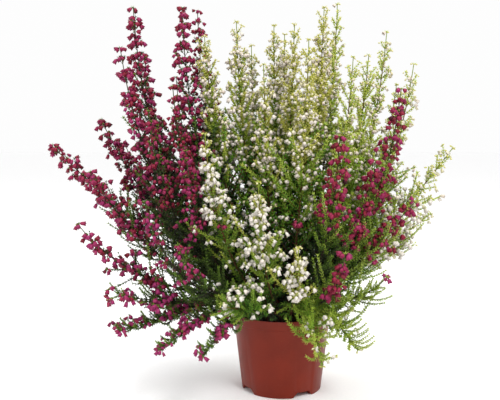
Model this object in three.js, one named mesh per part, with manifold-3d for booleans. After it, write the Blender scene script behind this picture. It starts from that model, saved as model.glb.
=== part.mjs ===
// Potted cape heath, a magenta and a white plant in one plastic pot.
// Millimetres, +Z up. The origin is the middle of the pot's foot, and the front faces -Y.
import * as THREE from "three";
import { mergeVertices } from "three/addons/utils/BufferGeometryUtils.js";
import Module from "manifold-3d";

const wasm = await Module();
wasm.setup();

// Pot: a thin moulding with a stepped collar
const POT_HEIGHT = 82;
const RIM_RADIUS = 52.5;
const FOOT_RADIUS = 42;
const COLLAR_HEIGHT = 10;
const COLLAR_STEP = 0.8;
const WALL = 1.4;
const POT_SIDES = 48;

// Four drainage channels run out under the floor and end in notches at the foot
const CHANNEL_START = 18;
const CHANNEL_HEIGHT = 5.5;
const CHANNEL_WIDTH_AT_FLOOR = 23;
const CHANNEL_WIDTH_AT_TOP = 15;
const CHANNEL_COUNT = 4;
const FIRST_CHANNEL_DEG = 30;
const DRAIN_RADIUS = 3.5;
const DRAIN_PLACE = 28;
const DRAIN_SIDES = 12;
const CUT_PAST = 8;

// Soil, and the plain square hole in it for each stem
const SOIL_TOP = 74;
const SOIL_SIDES = 24;
const FIT_GAP = 0.3;
const HOLE_DEPTH = 24;
const ROOT_ZONE_RADIUS = 37;
const ROOT_SPACING = 8;
const ROOT_ROUNDS = 400;
const ROOT_PUSH = 0.4;
const EDGE_SLOPE = 0.55;

// A spray: bare woody foot, needle-leaved middle, spire of nodding bells
const SPRAY_SIDES = 6;
const STEM_RADIUS = 1.25;
const WOODY_LENGTH = 16;
const BARK_END = 12;
const NEEDLE_CORE = 1.5;
const NEEDLE_REACH_LOW = 3.2;
const NEEDLE_REACH = 6.2;
const NEEDLE_FILL_OUT = 80;
const NEEDLE_SPACING = 13;
const NEEDLE_LIFT = 6;
const BELL_CORE = 3.6;
const BELL_REACH = 9.2;
const BELL_SPACING = 9.2;
const BELL_NOD = 3.5;
const TWIST_DEG = 7;
const UNEVEN_REACH = 0.5;
const UNEVEN_LIFT = 4;
const UNEVEN_TURN_DEG = 22;
const SEED = 20261127;
const SPIRE_SHARE = 0.52;
const SPIRE_LONGEST = 185;
const TIP_SHARE = 0.3;
const TIP_TAPER = 0.55;
const BUD_LENGTH = 6;

// Course of a stem: it rises from the soil, swings out, and comes up to its tip from below
const RISE_SHARE = 0.08;
const LEAST_RISE = 28;
const APPROACH_SHARE = 0.7;
const HANDLE_FLOOR = 96;
const TRAILING_RISE = 62;
const TRAILING_APPROACH = 0.55;

// How stems are bent clear of each other
const SAMPLE_STEP = 8;
const STEM_CLEARANCE = 1.2;
const SETTLE_ROUNDS = 90;
const PUSH_SHARE = 0.5;
const STILL_POINTS = 2;
const TINY = 1e-6;

// Spray tips: x, y, z and the lean of the tip from upright in degrees
const MAGENTA_TIPS = [
  [-156, 16, 400, 3], [-165, -14, 355, 8], [-150, 50, 352, 6], [-104, 4, 398, 2],
  [-90, 34, 400, 2], [-110, -34, 315, 4], [-132, -50, 290, 6], [-240, 0, 256, 44],
  [-196, 36, 284, 26], [-194, -32, 230, 30], [-198, -70, 182, 36], [-168, -74, 120, 42],
  [-160, -62, 78, 96], [-120, -84, 65, 110], [-75, -108, 68, 125], [-94, -70, 252, 6],
  [-130, -98, 206, 12], [-98, -112, 168, 22], [-120, 96, 335, 6], [-182, 100, 258, 26],
  [-78, 130, 330, 6], [-144, 130, 180, 42], [114, -44, 312, 6], [50, -80, 266, 3],
  [125, -62, 203, 42], [86, -68, 243, 10], [52, -110, 160, 14], [94, -88, 134, 40],
];
const WHITE_TIPS = [
  [-81, 8, 370, 4], [-48, 18, 386, 2], [-32, 70, 368, 2], [-8, 30, 384, 2],
  [12, -4, 380, 2], [6, 84, 382, 2], [24, -38, 360, 2], [44, 14, 400, 2],
  [62, 50, 410, 2], [-20, -20, 338, 2], [71, -14, 346, 3], [114, 36, 378, 5],
  [90, 6, 350, 4], [142, 28, 343, 8], [134, 78, 325, 8], [178, 0, 254, 36],
  [168, 46, 180, 55], [-76, -76, 268, 4], [-26, -98, 224, 6], [10, -114, 166, 18],
  [-64, -106, 112, 50], [72, -70, 61, 125], [35, -94, 52, 150], [36, 128, 335, 6],
  [100, 112, 290, 12], [-34, 146, 262, 10], [126, 104, 160, 50], [24, 150, 150, 45],
];

const COLOURS = {
  pot: { color: 0x863f2c, roughness: 0.45, metalness: 0 },
  soil: { color: 0x1d1812, roughness: 1, metalness: 0 },
  magenta: { color: 0xb3225a, roughness: 0.6, metalness: 0 },
  white: { color: 0xe9e6d4, roughness: 0.6, metalness: 0 },
};

// Turns a geometry into a solid that can be cut, with its shared corners merged
function toSolid(geometry) {
  const bare = geometry.clone();
  bare.deleteAttribute("normal");
  bare.deleteAttribute("uv");
  const merged = mergeVertices(bare, 1e-4);
  return new wasm.Manifold(new wasm.Mesh({
    numProp: 3,
    vertProperties: new Float32Array(merged.attributes.position.array),
    triVerts: new Uint32Array(merged.index.array),
  }));
}

function toGeometry(solid) {
  const cut = solid.getMesh();
  const geometry = new THREE.BufferGeometry();
  geometry.setAttribute("position", new THREE.BufferAttribute(cut.vertProperties, 3));
  geometry.setIndex(new THREE.BufferAttribute(cut.triVerts, 1));
  geometry.computeVertexNormals();
  return geometry;
}

// A profile of [radius, height] corners turned round the Z axis
function turned(profile, sides) {
  const corners = profile.map(([radius, height]) => new THREE.Vector2(radius, height));
  const lathe = new THREE.LatheGeometry(corners, sides);
  lathe.rotateX(Math.PI / 2);
  return toSolid(lathe);
}

// Outer radius of the pot's wall at a height, without the collar's step
function wallRadius(height) {
  return FOOT_RADIUS + (RIM_RADIUS - COLLAR_STEP - FOOT_RADIUS) * (height / POT_HEIGHT);
}

function potOutside() {
  const collar = POT_HEIGHT - COLLAR_HEIGHT;
  return turned([
    [0, 0],
    [FOOT_RADIUS, 0],
    [wallRadius(collar), collar],
    [wallRadius(collar) + COLLAR_STEP, collar + 0.6],
    [RIM_RADIUS, POT_HEIGHT],
    [0, POT_HEIGHT],
  ], POT_SIDES);
}

// The space inside the wall, drawn in by a margin and filled to a height
function potInside(margin, top, sides) {
  const inset = WALL + margin;
  return turned([
    [0, inset],
    [wallRadius(inset) - inset, inset],
    [wallRadius(top) - inset, top],
    [0, top],
  ], sides);
}

function turnedToChannel(geometry, index) {
  geometry.rotateX(Math.PI / 2);
  geometry.rotateZ(THREE.MathUtils.degToRad(FIRST_CHANNEL_DEG + (360 / CHANNEL_COUNT) * index));
  return toSolid(geometry);
}

// One channel, grown by a margin: a trapezium pushed out from near the middle past the foot
function channel(index, margin) {
  const floorHalf = CHANNEL_WIDTH_AT_FLOOR / 2 + margin;
  const topHalf = CHANNEL_WIDTH_AT_TOP / 2 + margin;
  const top = CHANNEL_HEIGHT + margin;
  const section = new THREE.Shape();
  section.moveTo(-floorHalf, -CUT_PAST);
  section.lineTo(floorHalf, -CUT_PAST);
  section.lineTo(floorHalf, 0);
  section.lineTo(topHalf, top);
  section.lineTo(-topHalf, top);
  section.lineTo(-floorHalf, 0);
  const depth = FOOT_RADIUS - CHANNEL_START + CUT_PAST + margin;
  const bar = new THREE.ExtrudeGeometry(section, { depth, bevelEnabled: false });
  bar.translate(0, 0, CHANNEL_START - margin);
  return turnedToChannel(bar, index);
}

// A drain hole through the roof of a channel
function drain(index) {
  const hole = new THREE.CylinderGeometry(DRAIN_RADIUS, DRAIN_RADIUS, CUT_PAST, DRAIN_SIDES);
  hole.translate(0, CHANNEL_HEIGHT, DRAIN_PLACE);
  return turnedToChannel(hole, index);
}

function makePot() {
  let inside = potInside(0, POT_HEIGHT + 1, POT_SIDES);
  for (let index = 0; index < CHANNEL_COUNT; index += 1) {
    inside = inside.subtract(channel(index, WALL));
  }
  let pot = potOutside().subtract(inside);
  for (let index = 0; index < CHANNEL_COUNT; index += 1) {
    pot = pot.subtract(channel(index, 0)).subtract(drain(index));
  }
  return toGeometry(pot);
}

function makeSoil(sprays) {
  let soil = potInside(FIT_GAP, SOIL_TOP, SOIL_SIDES);
  for (let index = 0; index < CHANNEL_COUNT; index += 1) {
    soil = soil.subtract(channel(index, WALL + FIT_GAP));
  }
  const side = 2 * (STEM_RADIUS + FIT_GAP);
  for (const spray of sprays) {
    const hole = new THREE.BoxGeometry(side, side, 2 * HOLE_DEPTH);
    hole.translate(spray.root.x, spray.root.y, SOIL_TOP);
    soil = soil.subtract(toSolid(hole));
  }
  return toGeometry(soil);
}

// Roots: steep stems start near the middle, spreading ones near the wall, then each is
// pushed sideways until it has its own place in the soil
function placeRoots(sprays) {
  for (const spray of sprays) {
    const reach = Math.hypot(spray.tip.x, spray.tip.y);
    const share = Math.min(1, reach / (EDGE_SLOPE * spray.tip.z));
    const radius = ROOT_ZONE_RADIUS * share;
    spray.root = new THREE.Vector2(spray.tip.x, spray.tip.y).multiplyScalar(radius / reach);
  }
  for (let round = 0; round < ROOT_ROUNDS; round += 1) {
    const moves = sprays.map(() => new THREE.Vector2());
    for (let a = 0; a < sprays.length; a += 1) {
      for (let b = 0; b < sprays.length; b += 1) {
        const apart = sprays[a].root.clone().sub(sprays[b].root);
        const lack = ROOT_SPACING - apart.length();
        if (a !== b && lack > 0) {
          moves[a].addScaledVector(apart, (ROOT_PUSH * lack) / (apart.length() + TINY));
        }
      }
    }
    sprays.forEach((spray, index) => {
      spray.root.add(moves[index]);
      spray.root.clampLength(0, ROOT_ZONE_RADIUS);
    });
  }
}

// First course of a stem: up out of the soil, then over to the tip at its lean
function sketchStem(spray) {
  const start = new THREE.Vector3(spray.root.x, spray.root.y, SOIL_TOP);
  const outward = Math.atan2(spray.tip.y - start.y, spray.tip.x - start.x);
  const lean = THREE.MathUtils.degToRad(spray.lean);
  const heading = new THREE.Vector3(
    Math.sin(lean) * Math.cos(outward), Math.sin(lean) * Math.sin(outward), Math.cos(lean));
  const span = start.distanceTo(spray.tip);
  let rise = Math.max(LEAST_RISE, RISE_SHARE * span);
  let approach = Math.min(APPROACH_SHARE * span, (spray.tip.z - HANDLE_FLOOR) / Math.cos(lean));
  if (spray.lean > 90) {
    rise = TRAILING_RISE;
    approach = TRAILING_APPROACH * span;
  }
  const over = start.clone().add(new THREE.Vector3(0, 0, rise));
  const ahead = spray.tip.clone().addScaledVector(heading, -approach);
  const course = new THREE.CubicBezierCurve3(start, over, ahead, spray.tip);
  const steps = Math.round(course.getLength() / SAMPLE_STEP);
  spray.course = course.getSpacedPoints(steps);
  spray.length = course.getLength();
  spray.spire = Math.min(SPIRE_LONGEST, SPIRE_SHARE * spray.length);
}

// Outer radius of a spray, needles or bells included, at a distance along it
function sprayRadius(spray, along) {
  if (along < WOODY_LENGTH) {
    return STEM_RADIUS;
  }
  return along < spray.length - spray.spire ? needleReach(along) : bellReach(spray, along);
}

// Needles and short twigs stand out further away from the crowded foot
function needleReach(along) {
  const share = Math.min(1, (along - WOODY_LENGTH) / NEEDLE_FILL_OUT);
  return THREE.MathUtils.lerp(NEEDLE_REACH_LOW, NEEDLE_REACH, share);
}

// Bells get smaller towards the tip
function bellReach(spray, along) {
  const left = (spray.length - along) / (TIP_SHARE * spray.spire);
  return BELL_REACH * (1 - TIP_TAPER * Math.max(0, 1 - left));
}

// Moves a point out of the way of the pot's wall, which is a slanting line in section
function clearOfPot(point, radius) {
  const across = Math.hypot(point.x, point.y);
  const foot = new THREE.Vector2(FOOT_RADIUS - WALL / 2, 0);
  const rim = new THREE.Vector2(RIM_RADIUS - WALL / 2, POT_HEIGHT);
  const wall = rim.clone().sub(foot);
  const spot = new THREE.Vector2(across, point.z);
  const share = THREE.MathUtils.clamp(spot.clone().sub(foot).dot(wall) / wall.lengthSq(), 0, 1);
  const apart = spot.clone().sub(foot.clone().addScaledVector(wall, share));
  const lack = radius + WALL + STEM_CLEARANCE - apart.length();
  if (lack <= 0) {
    return new THREE.Vector3();
  }
  apart.setLength(lack);
  return new THREE.Vector3((apart.x * point.x) / across, (apart.x * point.y) / across, apart.y);
}

// Bends all stems clear of each other and of the pot. Each point that is too close to a point of
// another stem moves away from it, then the moves are smoothed along each stem. Roots stay.
function settle(sprays) {
  for (const spray of sprays) {
    const last = spray.course.length - 1;
    spray.shift = spray.course.map(() => new THREE.Vector3());
    spray.radii = spray.course.map((_, index) => sprayRadius(spray, (spray.length * index) / last));
  }
  for (let round = 0; round < SETTLE_ROUNDS; round += 1) {
    for (const spray of sprays) {
      spray.now = spray.course.map((point, index) => point.clone().add(spray.shift[index]));
      spray.push = spray.now.map((point, index) => clearOfPot(point, spray.radii[index]));
    }
    for (let a = 0; a < sprays.length; a += 1) {
      for (let b = a + 1; b < sprays.length; b += 1) {
        pushApart(sprays[a], sprays[b]);
      }
    }
    for (const spray of sprays) {
      spray.shift.forEach((shift, index) => shift.add(spray.push[index]));
      spray.shift = smoothed(spray.shift);
    }
  }
  for (const spray of sprays) {
    spray.now = spray.course.map((point, index) => point.clone().add(spray.shift[index]));
  }
}

function pushApart(first, second) {
  const apart = new THREE.Vector3();
  for (let a = STILL_POINTS; a < first.now.length; a += 1) {
    for (let b = STILL_POINTS; b < second.now.length; b += 1) {
      apart.subVectors(first.now[a], second.now[b]);
      const wanted = first.radii[a] + second.radii[b] + STEM_CLEARANCE;
      const lack = wanted - apart.length();
      if (lack > 0) {
        apart.multiplyScalar((PUSH_SHARE * lack) / (apart.length() + TINY));
        first.push[a].add(apart);
        second.push[b].sub(apart);
      }
    }
  }
}

// Each shift becomes half itself and a quarter of each neighbour; the lowest stay nil
function smoothed(shifts) {
  return shifts.map((shift, index) => {
    if (index < STILL_POINTS) {
      return new THREE.Vector3();
    }
    const after = shifts[Math.min(index + 1, shifts.length - 1)];
    return shift.clone().multiplyScalar(0.5)
      .addScaledVector(shifts[index - 1], 0.25)
      .addScaledVector(after, 0.25);
  });
}

// Rings along a spray, from the foot of its hole to its tip: how far along, the core's radius,
// how far the raised corners stand out, and how far they are lifted towards the tip
function sprayRings(spray) {
  const rings = [];
  for (const along of [FIT_GAP - HOLE_DEPTH, 0, BARK_END]) {
    rings.push({ along, core: STEM_RADIUS, reach: STEM_RADIUS, lift: 0 });
  }
  const leafyLength = spray.length - spray.spire - WOODY_LENGTH;
  const whorls = Math.max(1, Math.round(leafyLength / NEEDLE_SPACING));
  for (let index = 0; index < whorls; index += 1) {
    const along = WOODY_LENGTH + ((index + 0.3) * leafyLength) / whorls;
    rings.push({ along, core: NEEDLE_CORE, reach: needleReach(along), lift: NEEDLE_LIFT });
  }
  const bellLength = spray.spire - BUD_LENGTH;
  const tiers = Math.round(bellLength / BELL_SPACING);
  for (let index = 0; index < tiers; index += 1) {
    const along = spray.length - spray.spire + ((index + 0.5) * bellLength) / tiers;
    const reach = bellReach(spray, along);
    rings.push({ along, core: (BELL_CORE * reach) / BELL_REACH, reach, lift: -BELL_NOD });
  }
  return rings;
}

// Corners of all rings. On every ring each second corner is raised, turn and turn about from
// ring to ring, and stands out, turns and lifts a little unevenly.
function sprayCorners(spray, rings, curve, draw) {
  const across = new THREE.Vector3(1, 0, 0);
  const upright = new THREE.Vector3(0, 0, 1);
  return rings.flatMap((ring, ringIndex) => {
    const share = Math.max(0, ring.along / spray.length);
    const middle = curve.getPointAt(share);
    middle.z += Math.min(0, ring.along);
    const ahead = share > 0 ? curve.getTangentAt(share) : upright;
    across.addScaledVector(ahead, -across.dot(ahead)).normalize();
    across.applyAxisAngle(ahead, THREE.MathUtils.degToRad(TWIST_DEG));
    const beside = new THREE.Vector3().crossVectors(ahead, across);
    return Array.from({ length: SPRAY_SIDES }, (_, side) => {
      const raised = (ringIndex + side) % 2 === 0 && ring.lift !== 0;
      const turn = raised ? UNEVEN_TURN_DEG * (draw() - 0.5) : 0;
      const stand = raised ? (ring.reach - ring.core) * (1 - UNEVEN_REACH * draw()) : 0;
      const lift = raised ? ring.lift + UNEVEN_LIFT * (draw() - 0.5) : 0;
      const angle = THREE.MathUtils.degToRad((360 * side) / SPRAY_SIDES + turn);
      return middle.clone()
        .addScaledVector(across, (ring.core + stand) * Math.cos(angle))
        .addScaledVector(beside, (ring.core + stand) * Math.sin(angle))
        .addScaledVector(ahead, lift);
    });
  });
}

// Faces of the tube. Each four-sided patch is split between its two low corners, so that each
// raised corner becomes a four-sided point, a bell or a needle. The foot and the tip close it.
function sprayFaces(ringCount) {
  const foot = ringCount * SPRAY_SIDES;
  const tip = foot + 1;
  const top = foot - SPRAY_SIDES;
  const faces = [];
  for (let side = 0; side < SPRAY_SIDES; side += 1) {
    const next = (side + 1) % SPRAY_SIDES;
    faces.push(foot, next, side, tip, top + side, top + next);
    for (let ring = 0; ring + 1 < ringCount; ring += 1) {
      const low = ring * SPRAY_SIDES;
      const high = low + SPRAY_SIDES;
      if ((ring + side) % 2 === 0) {
        faces.push(low + side, low + next, high + side, low + next, high + next, high + side);
      } else {
        faces.push(low + side, low + next, high + next, low + side, high + next, high + side);
      }
    }
  }
  return faces;
}

// One spray as a closed six-sided tube along its settled stem
function makeSpray(spray, draw) {
  const curve = new THREE.CatmullRomCurve3(spray.now);
  curve.arcLengthDivisions = 400;
  const rings = sprayRings(spray);
  const corners = sprayCorners(spray, rings, curve, draw);
  const foot = curve.getPointAt(0);
  foot.z += rings[0].along;
  corners.push(foot, curve.getPointAt(1));
  const geometry = new THREE.BufferGeometry().setFromPoints(corners);
  geometry.setIndex(sprayFaces(rings.length));
  geometry.computeVertexNormals();
  return geometry;
}

// Even draws from 0 to 1, the same on every run
function seededDraw(seed) {
  let state = seed;
  return () => {
    state = (Math.imul(state, 1664525) + 1013904223) >>> 0;
    return state / 2 ** 32;
  };
}

function listSprays(tips, colour) {
  return tips.map(([x, y, z, lean], index) => ({
    name: `${colour}_spray_${String(index + 1).padStart(2, "0")}`,
    colour,
    tip: new THREE.Vector3(x, y, z),
    lean,
  }));
}

function addPiece(group, name, geometry, finish) {
  const mesh = new THREE.Mesh(geometry, new THREE.MeshStandardMaterial(finish));
  mesh.name = name;
  group.add(mesh);
}

function makePlant() {
  const sprays = [...listSprays(MAGENTA_TIPS, "magenta"), ...listSprays(WHITE_TIPS, "white")];
  placeRoots(sprays);
  sprays.forEach(sketchStem);
  settle(sprays);
  const draw = seededDraw(SEED);
  const group = new THREE.Group();
  addPiece(group, "pot", makePot(), COLOURS.pot);
  addPiece(group, "soil", makeSoil(sprays), COLOURS.soil);
  for (const spray of sprays) {
    addPiece(group, spray.name, makeSpray(spray, draw), COLOURS[spray.colour]);
  }
  return group;
}

export default makePlant();
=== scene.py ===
"""Looks of a potted heath: two colours of flower spires over needle-leaved stems in a plastic pot.

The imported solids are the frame. Each spray is shown by two pieces that follow its settled stem:
its stem, side shoots and needles, and its bells. Lengths in the constants are millimetres, angles
are radians unless a name says degrees, and a pair is a range to draw from.
"""

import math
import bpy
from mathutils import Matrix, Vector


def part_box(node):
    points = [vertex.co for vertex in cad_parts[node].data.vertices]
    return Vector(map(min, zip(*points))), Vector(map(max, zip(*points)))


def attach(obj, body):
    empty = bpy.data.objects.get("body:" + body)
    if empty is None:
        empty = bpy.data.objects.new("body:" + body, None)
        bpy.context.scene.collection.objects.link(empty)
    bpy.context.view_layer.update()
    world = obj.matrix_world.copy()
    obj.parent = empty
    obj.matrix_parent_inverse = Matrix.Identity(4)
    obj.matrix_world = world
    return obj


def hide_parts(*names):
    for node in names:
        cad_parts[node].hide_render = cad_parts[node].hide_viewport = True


bl_info = {
    "name": "Potted heath",
    "version": (1, 0, 0),
    "blender": (4, 5, 0),
    "location": "3D View > Sidebar > Heath",
    "description": "Builds a potted heath with its needles and bells around its packed solids",
    "category": "Add Mesh",
}

from functools import cache
from types import SimpleNamespace

import bpy
import numpy as np

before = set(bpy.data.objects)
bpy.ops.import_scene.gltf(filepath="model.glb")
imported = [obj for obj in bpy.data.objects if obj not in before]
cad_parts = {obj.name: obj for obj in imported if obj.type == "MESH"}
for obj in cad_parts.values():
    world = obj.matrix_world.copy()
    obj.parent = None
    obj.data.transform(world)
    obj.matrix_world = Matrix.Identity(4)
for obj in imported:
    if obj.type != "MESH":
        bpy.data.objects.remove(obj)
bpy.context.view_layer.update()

MM = 0.001
UP = np.array([0.0, 0.0, 1.0])
GOLDEN_TURN = math.pi * (3 - math.sqrt(5))
SEED = 20261127
TINY = 1e-6

# Pot and soil, as the solids have them
SOIL_TOP = 74.0
RIM_RADIUS = 52.5
FOOT_RADIUS = 42.0
POT_HEIGHT = 82.0
WALL = 1.4
SOIL_GAP = 0.3

# Spray tips, as the solids have them: x, y, z and the lean of the tip from upright in degrees
MAGENTA_TIPS = np.array([
    [-156, 16, 400, 3], [-165, -14, 355, 8], [-150, 50, 352, 6], [-104, 4, 398, 2],
    [-90, 34, 400, 2], [-110, -34, 315, 4], [-132, -50, 290, 6], [-240, 0, 256, 44],
    [-196, 36, 284, 26], [-194, -32, 230, 30], [-198, -70, 182, 36], [-168, -74, 120, 42],
    [-160, -62, 78, 96], [-120, -84, 65, 110], [-75, -108, 68, 125], [-94, -70, 252, 6],
    [-130, -98, 206, 12], [-98, -112, 168, 22], [-120, 96, 335, 6], [-182, 100, 258, 26],
    [-78, 130, 330, 6], [-144, 130, 180, 42], [114, -44, 312, 6], [50, -80, 266, 3],
    [125, -62, 203, 42], [86, -68, 243, 10], [52, -110, 160, 14], [94, -88, 134, 40],
], float)
WHITE_TIPS = np.array([
    [-81, 8, 370, 4], [-48, 18, 386, 2], [-32, 70, 368, 2], [-8, 30, 384, 2],
    [12, -4, 380, 2], [6, 84, 382, 2], [24, -38, 360, 2], [44, 14, 400, 2],
    [62, 50, 410, 2], [-20, -20, 338, 2], [71, -14, 346, 3], [114, 36, 378, 5],
    [90, 6, 350, 4], [142, 28, 343, 8], [134, 78, 325, 8], [178, 0, 254, 36],
    [168, 46, 180, 55], [-76, -76, 268, 4], [-26, -98, 224, 6], [10, -114, 166, 18],
    [-64, -106, 112, 50], [72, -70, 61, 125], [35, -94, 52, 150], [36, 128, 335, 6],
    [100, 112, 290, 12], [-34, 146, 262, 10], [126, 104, 160, 50], [24, 150, 150, 45],
], float)

# Roots: where each stem leaves the soil
ROOT_ZONE_RADIUS = 37.0
ROOT_SPACING = 8.0
ROOT_ROUNDS = 400
ROOT_PUSH = 0.4
EDGE_SLOPE = 0.55

# First course of a stem. A trailing stem hangs over the rim
RISE_SHARE = 0.08
LEAST_RISE = 28.0
APPROACH_SHARE = 0.7
HANDLE_FLOOR = 96.0
TRAILING_LEAN_DEG = 90.0
TRAILING_RISE = 62.0
TRAILING_APPROACH = 0.55
COURSE_DIVISIONS = 200
SAMPLE_STEP = 8.0

# Room that each spray keeps while the stems are bent clear of each other
STEM_RADIUS = 1.25
WOODY_LENGTH = 16.0
NEEDLE_REACH_LOW = 3.2
NEEDLE_REACH = 6.2
NEEDLE_FILL_OUT = 80.0
BELL_REACH = 9.2
SPIRE_SHARE = 0.52
SPIRE_LONGEST = 185.0
TIP_SHARE = 0.3
TIP_TAPER = 0.55
STEM_CLEARANCE = 1.2
SETTLE_ROUNDS = 90
LOOK_AGAIN = 10
LOOK_MARGIN = 20.0
PUSH_SHARE = 0.5
STILL_POINTS = 2
CURVE_PARTS = 6


def linear(hex_colour):
    """sRGB hex to linear red, green, blue: each channel c becomes c / 12.92 up to 0.04045, and
    ((c + 0.055) / 1.055) to the power 2.4 above it."""
    channels = [int(hex_colour[i:i + 2], 16) / 255 for i in (1, 3, 5)]
    return tuple(c / 12.92 if c <= 0.04045 else ((c + 0.055) / 1.055) ** 2.4 for c in channels)


def colour_setting(name, hex_colour, description):
    """A colour that a user can change."""
    return bpy.props.FloatVectorProperty(
        name=name, description=description, subtype="COLOR", size=3, min=0, max=1,
        default=linear(hex_colour))


def length_setting(name, millimetres, description):
    """A length that a user can change."""
    return bpy.props.FloatProperty(
        name=name, description=description, subtype="DISTANCE", unit="LENGTH", min=0,
        default=millimetres * MM)


class HEATH_PG_sizes(bpy.types.PropertyGroup):
    """Sizes of what grows on the stems."""

    needle: length_setting("Needle length", 5.2, "Length of a full-grown needle")
    needle_width: length_setting(
        "Needle width", 1.45, "Width of a needle at its foot, about twice a real one's, to show")
    bell: length_setting("Bell length", 5.6, "Length of an open bell from stalk to lobes")
    bell_width: length_setting("Bell width", 4.2, "Width of an open bell at its widest")
    crumb: length_setting("Crumb height", 1.1, "How far the soil's crumbs stand up and down")


class HEATH_PG_colours(bpy.types.PropertyGroup):
    """Colours of the bells, the soil and the pot."""

    magenta: colour_setting("Magenta bell", "#86192F", "Open bells of the magenta plants")
    magenta_dark: colour_setting("Dark bell", "#320512", "Older bells of the magenta plants")
    white: colour_setting("White bell", "#DED3C7", "Open bells of the white plants")
    bud: colour_setting("White plant's bud", "#C2BC68", "Buds of the white plants")
    pot: colour_setting("Pot", "#702110", "Brick-red plastic of the pot")
    soil: colour_setting("Soil", "#1F1711", "Moist peat")


# Vectors and meshes


def unit(vectors):
    """Vectors divided by their own length."""
    return vectors / np.maximum(np.linalg.norm(vectors, axis=-1, keepdims=True), 1e-12)


def dot(first, second):
    """Scalar products, kept as a last axis of one."""
    return (first * second).sum(axis=-1, keepdims=True)


def stacked(*parts):
    """Numbers or arrays, spread to one shape and put side by side along a new last axis."""
    return np.stack(np.broadcast_arrays(*parts), -1)


def ring_angles(sides):
    """Equal steps round a full turn."""
    return 2 * math.pi * np.arange(sides) / sides


def turned(first, second, angle):
    """Ways at an angle from the first towards the second: cos a first + sin a second."""
    return np.cos(angle)[..., None] * first + np.sin(angle)[..., None] * second


def cross_frame(ahead, aside):
    """Two unit vectors square to ahead: beside is aside less its part along ahead, and across is
    beside x ahead, so that across x beside = ahead."""
    beside = unit(aside - dot(aside, ahead) * ahead)
    return np.cross(beside, ahead), beside


def spread_counts(counts):
    """For things in groups: each one's group and its number in the group."""
    owner = np.repeat(np.arange(len(counts)), counts)
    rank = np.arange(len(owner)) - np.repeat(np.cumsum(counts) - counts, counts)
    return owner, rank


def ring_bodies(rings, first, last, slot, along, tint, age=0.0):
    """Closed bodies of one kind. rings has the places of every body's rings (bodies, rings, sides,
    3), wound right-handed about the way to last, the point that closes the last ring. first is the
    point that closes the first ring, or None where one flat face does. along, tint and age fit
    (bodies, rings + 2): the first point, each ring, the last point."""
    whole = (rings.shape[0], rings.shape[1] + 2)
    marks = [np.broadcast_to(np.asarray(value, float), whole) for value in (along, tint, age)]
    return SimpleNamespace(rings=rings, first=first, last=last, slot=slot,
                           along=marks[0], tint=marks[1], age=marks[2])


# Map of a body: share of its square that stays empty on each side, and where a flat foot lies
MAP_INSET = 0.1
FOOT_MIDDLE = 0.45
FOOT_REACH = 0.4


def face_pattern(ring_count, sides, pointed):
    """Corner numbers, face sizes and map places of one closed body. A pointed foot is point 0,
    then come the rings, ring after ring, and the last point closes the last ring. The map has
    side / sides across and (ring + 1) / (rings + 1) up, so no face lies on another."""
    side = np.arange(sides)
    after = (side + 1) % sides
    ring = np.arange(ring_count - 1)[:, None]
    low = int(pointed) + ring * sides
    top = int(pointed) + (ring_count - 1) * sides
    quads = stacked(low + side, low + after, low + sides + after, low + sides + side)
    head = stacked(top + sides, top + side, top + after)
    rise = 1 / (ring_count + 1)
    level = (1 + ring) * rise
    left, right = side / sides, (side + 1) / sides
    middle = (left + right) / 2
    quad_map = np.stack([stacked(left, level), stacked(right, level),
                         stacked(right, level + rise), stacked(left, level + rise)], -2)
    head_map = np.stack([stacked(middle, 1.0), stacked(left, 1 - rise),
                         stacked(right, 1 - rise)], -2)
    if pointed:
        foot, foot_sizes = stacked(0, 1 + after, 1 + side), np.full(sides, 3)
        foot_map = np.stack([stacked(middle, 0.0), stacked(right, rise), stacked(left, rise)], -2)
    else:
        foot, foot_sizes = side[::-1], np.array([sides])
        turn = -ring_angles(sides)
        foot_map = rise * (FOOT_MIDDLE + FOOT_REACH * stacked(np.cos(turn), np.sin(turn)))
    corners = np.concatenate([foot.ravel(), quads.ravel(), head.ravel()])
    sizes = np.concatenate([foot_sizes, np.full(quads.shape[0] * sides, 4), np.full(sides, 3)])
    places = np.concatenate([part.reshape(-1, 2) for part in (foot_map, quad_map, head_map)])
    return corners, sizes, places


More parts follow.
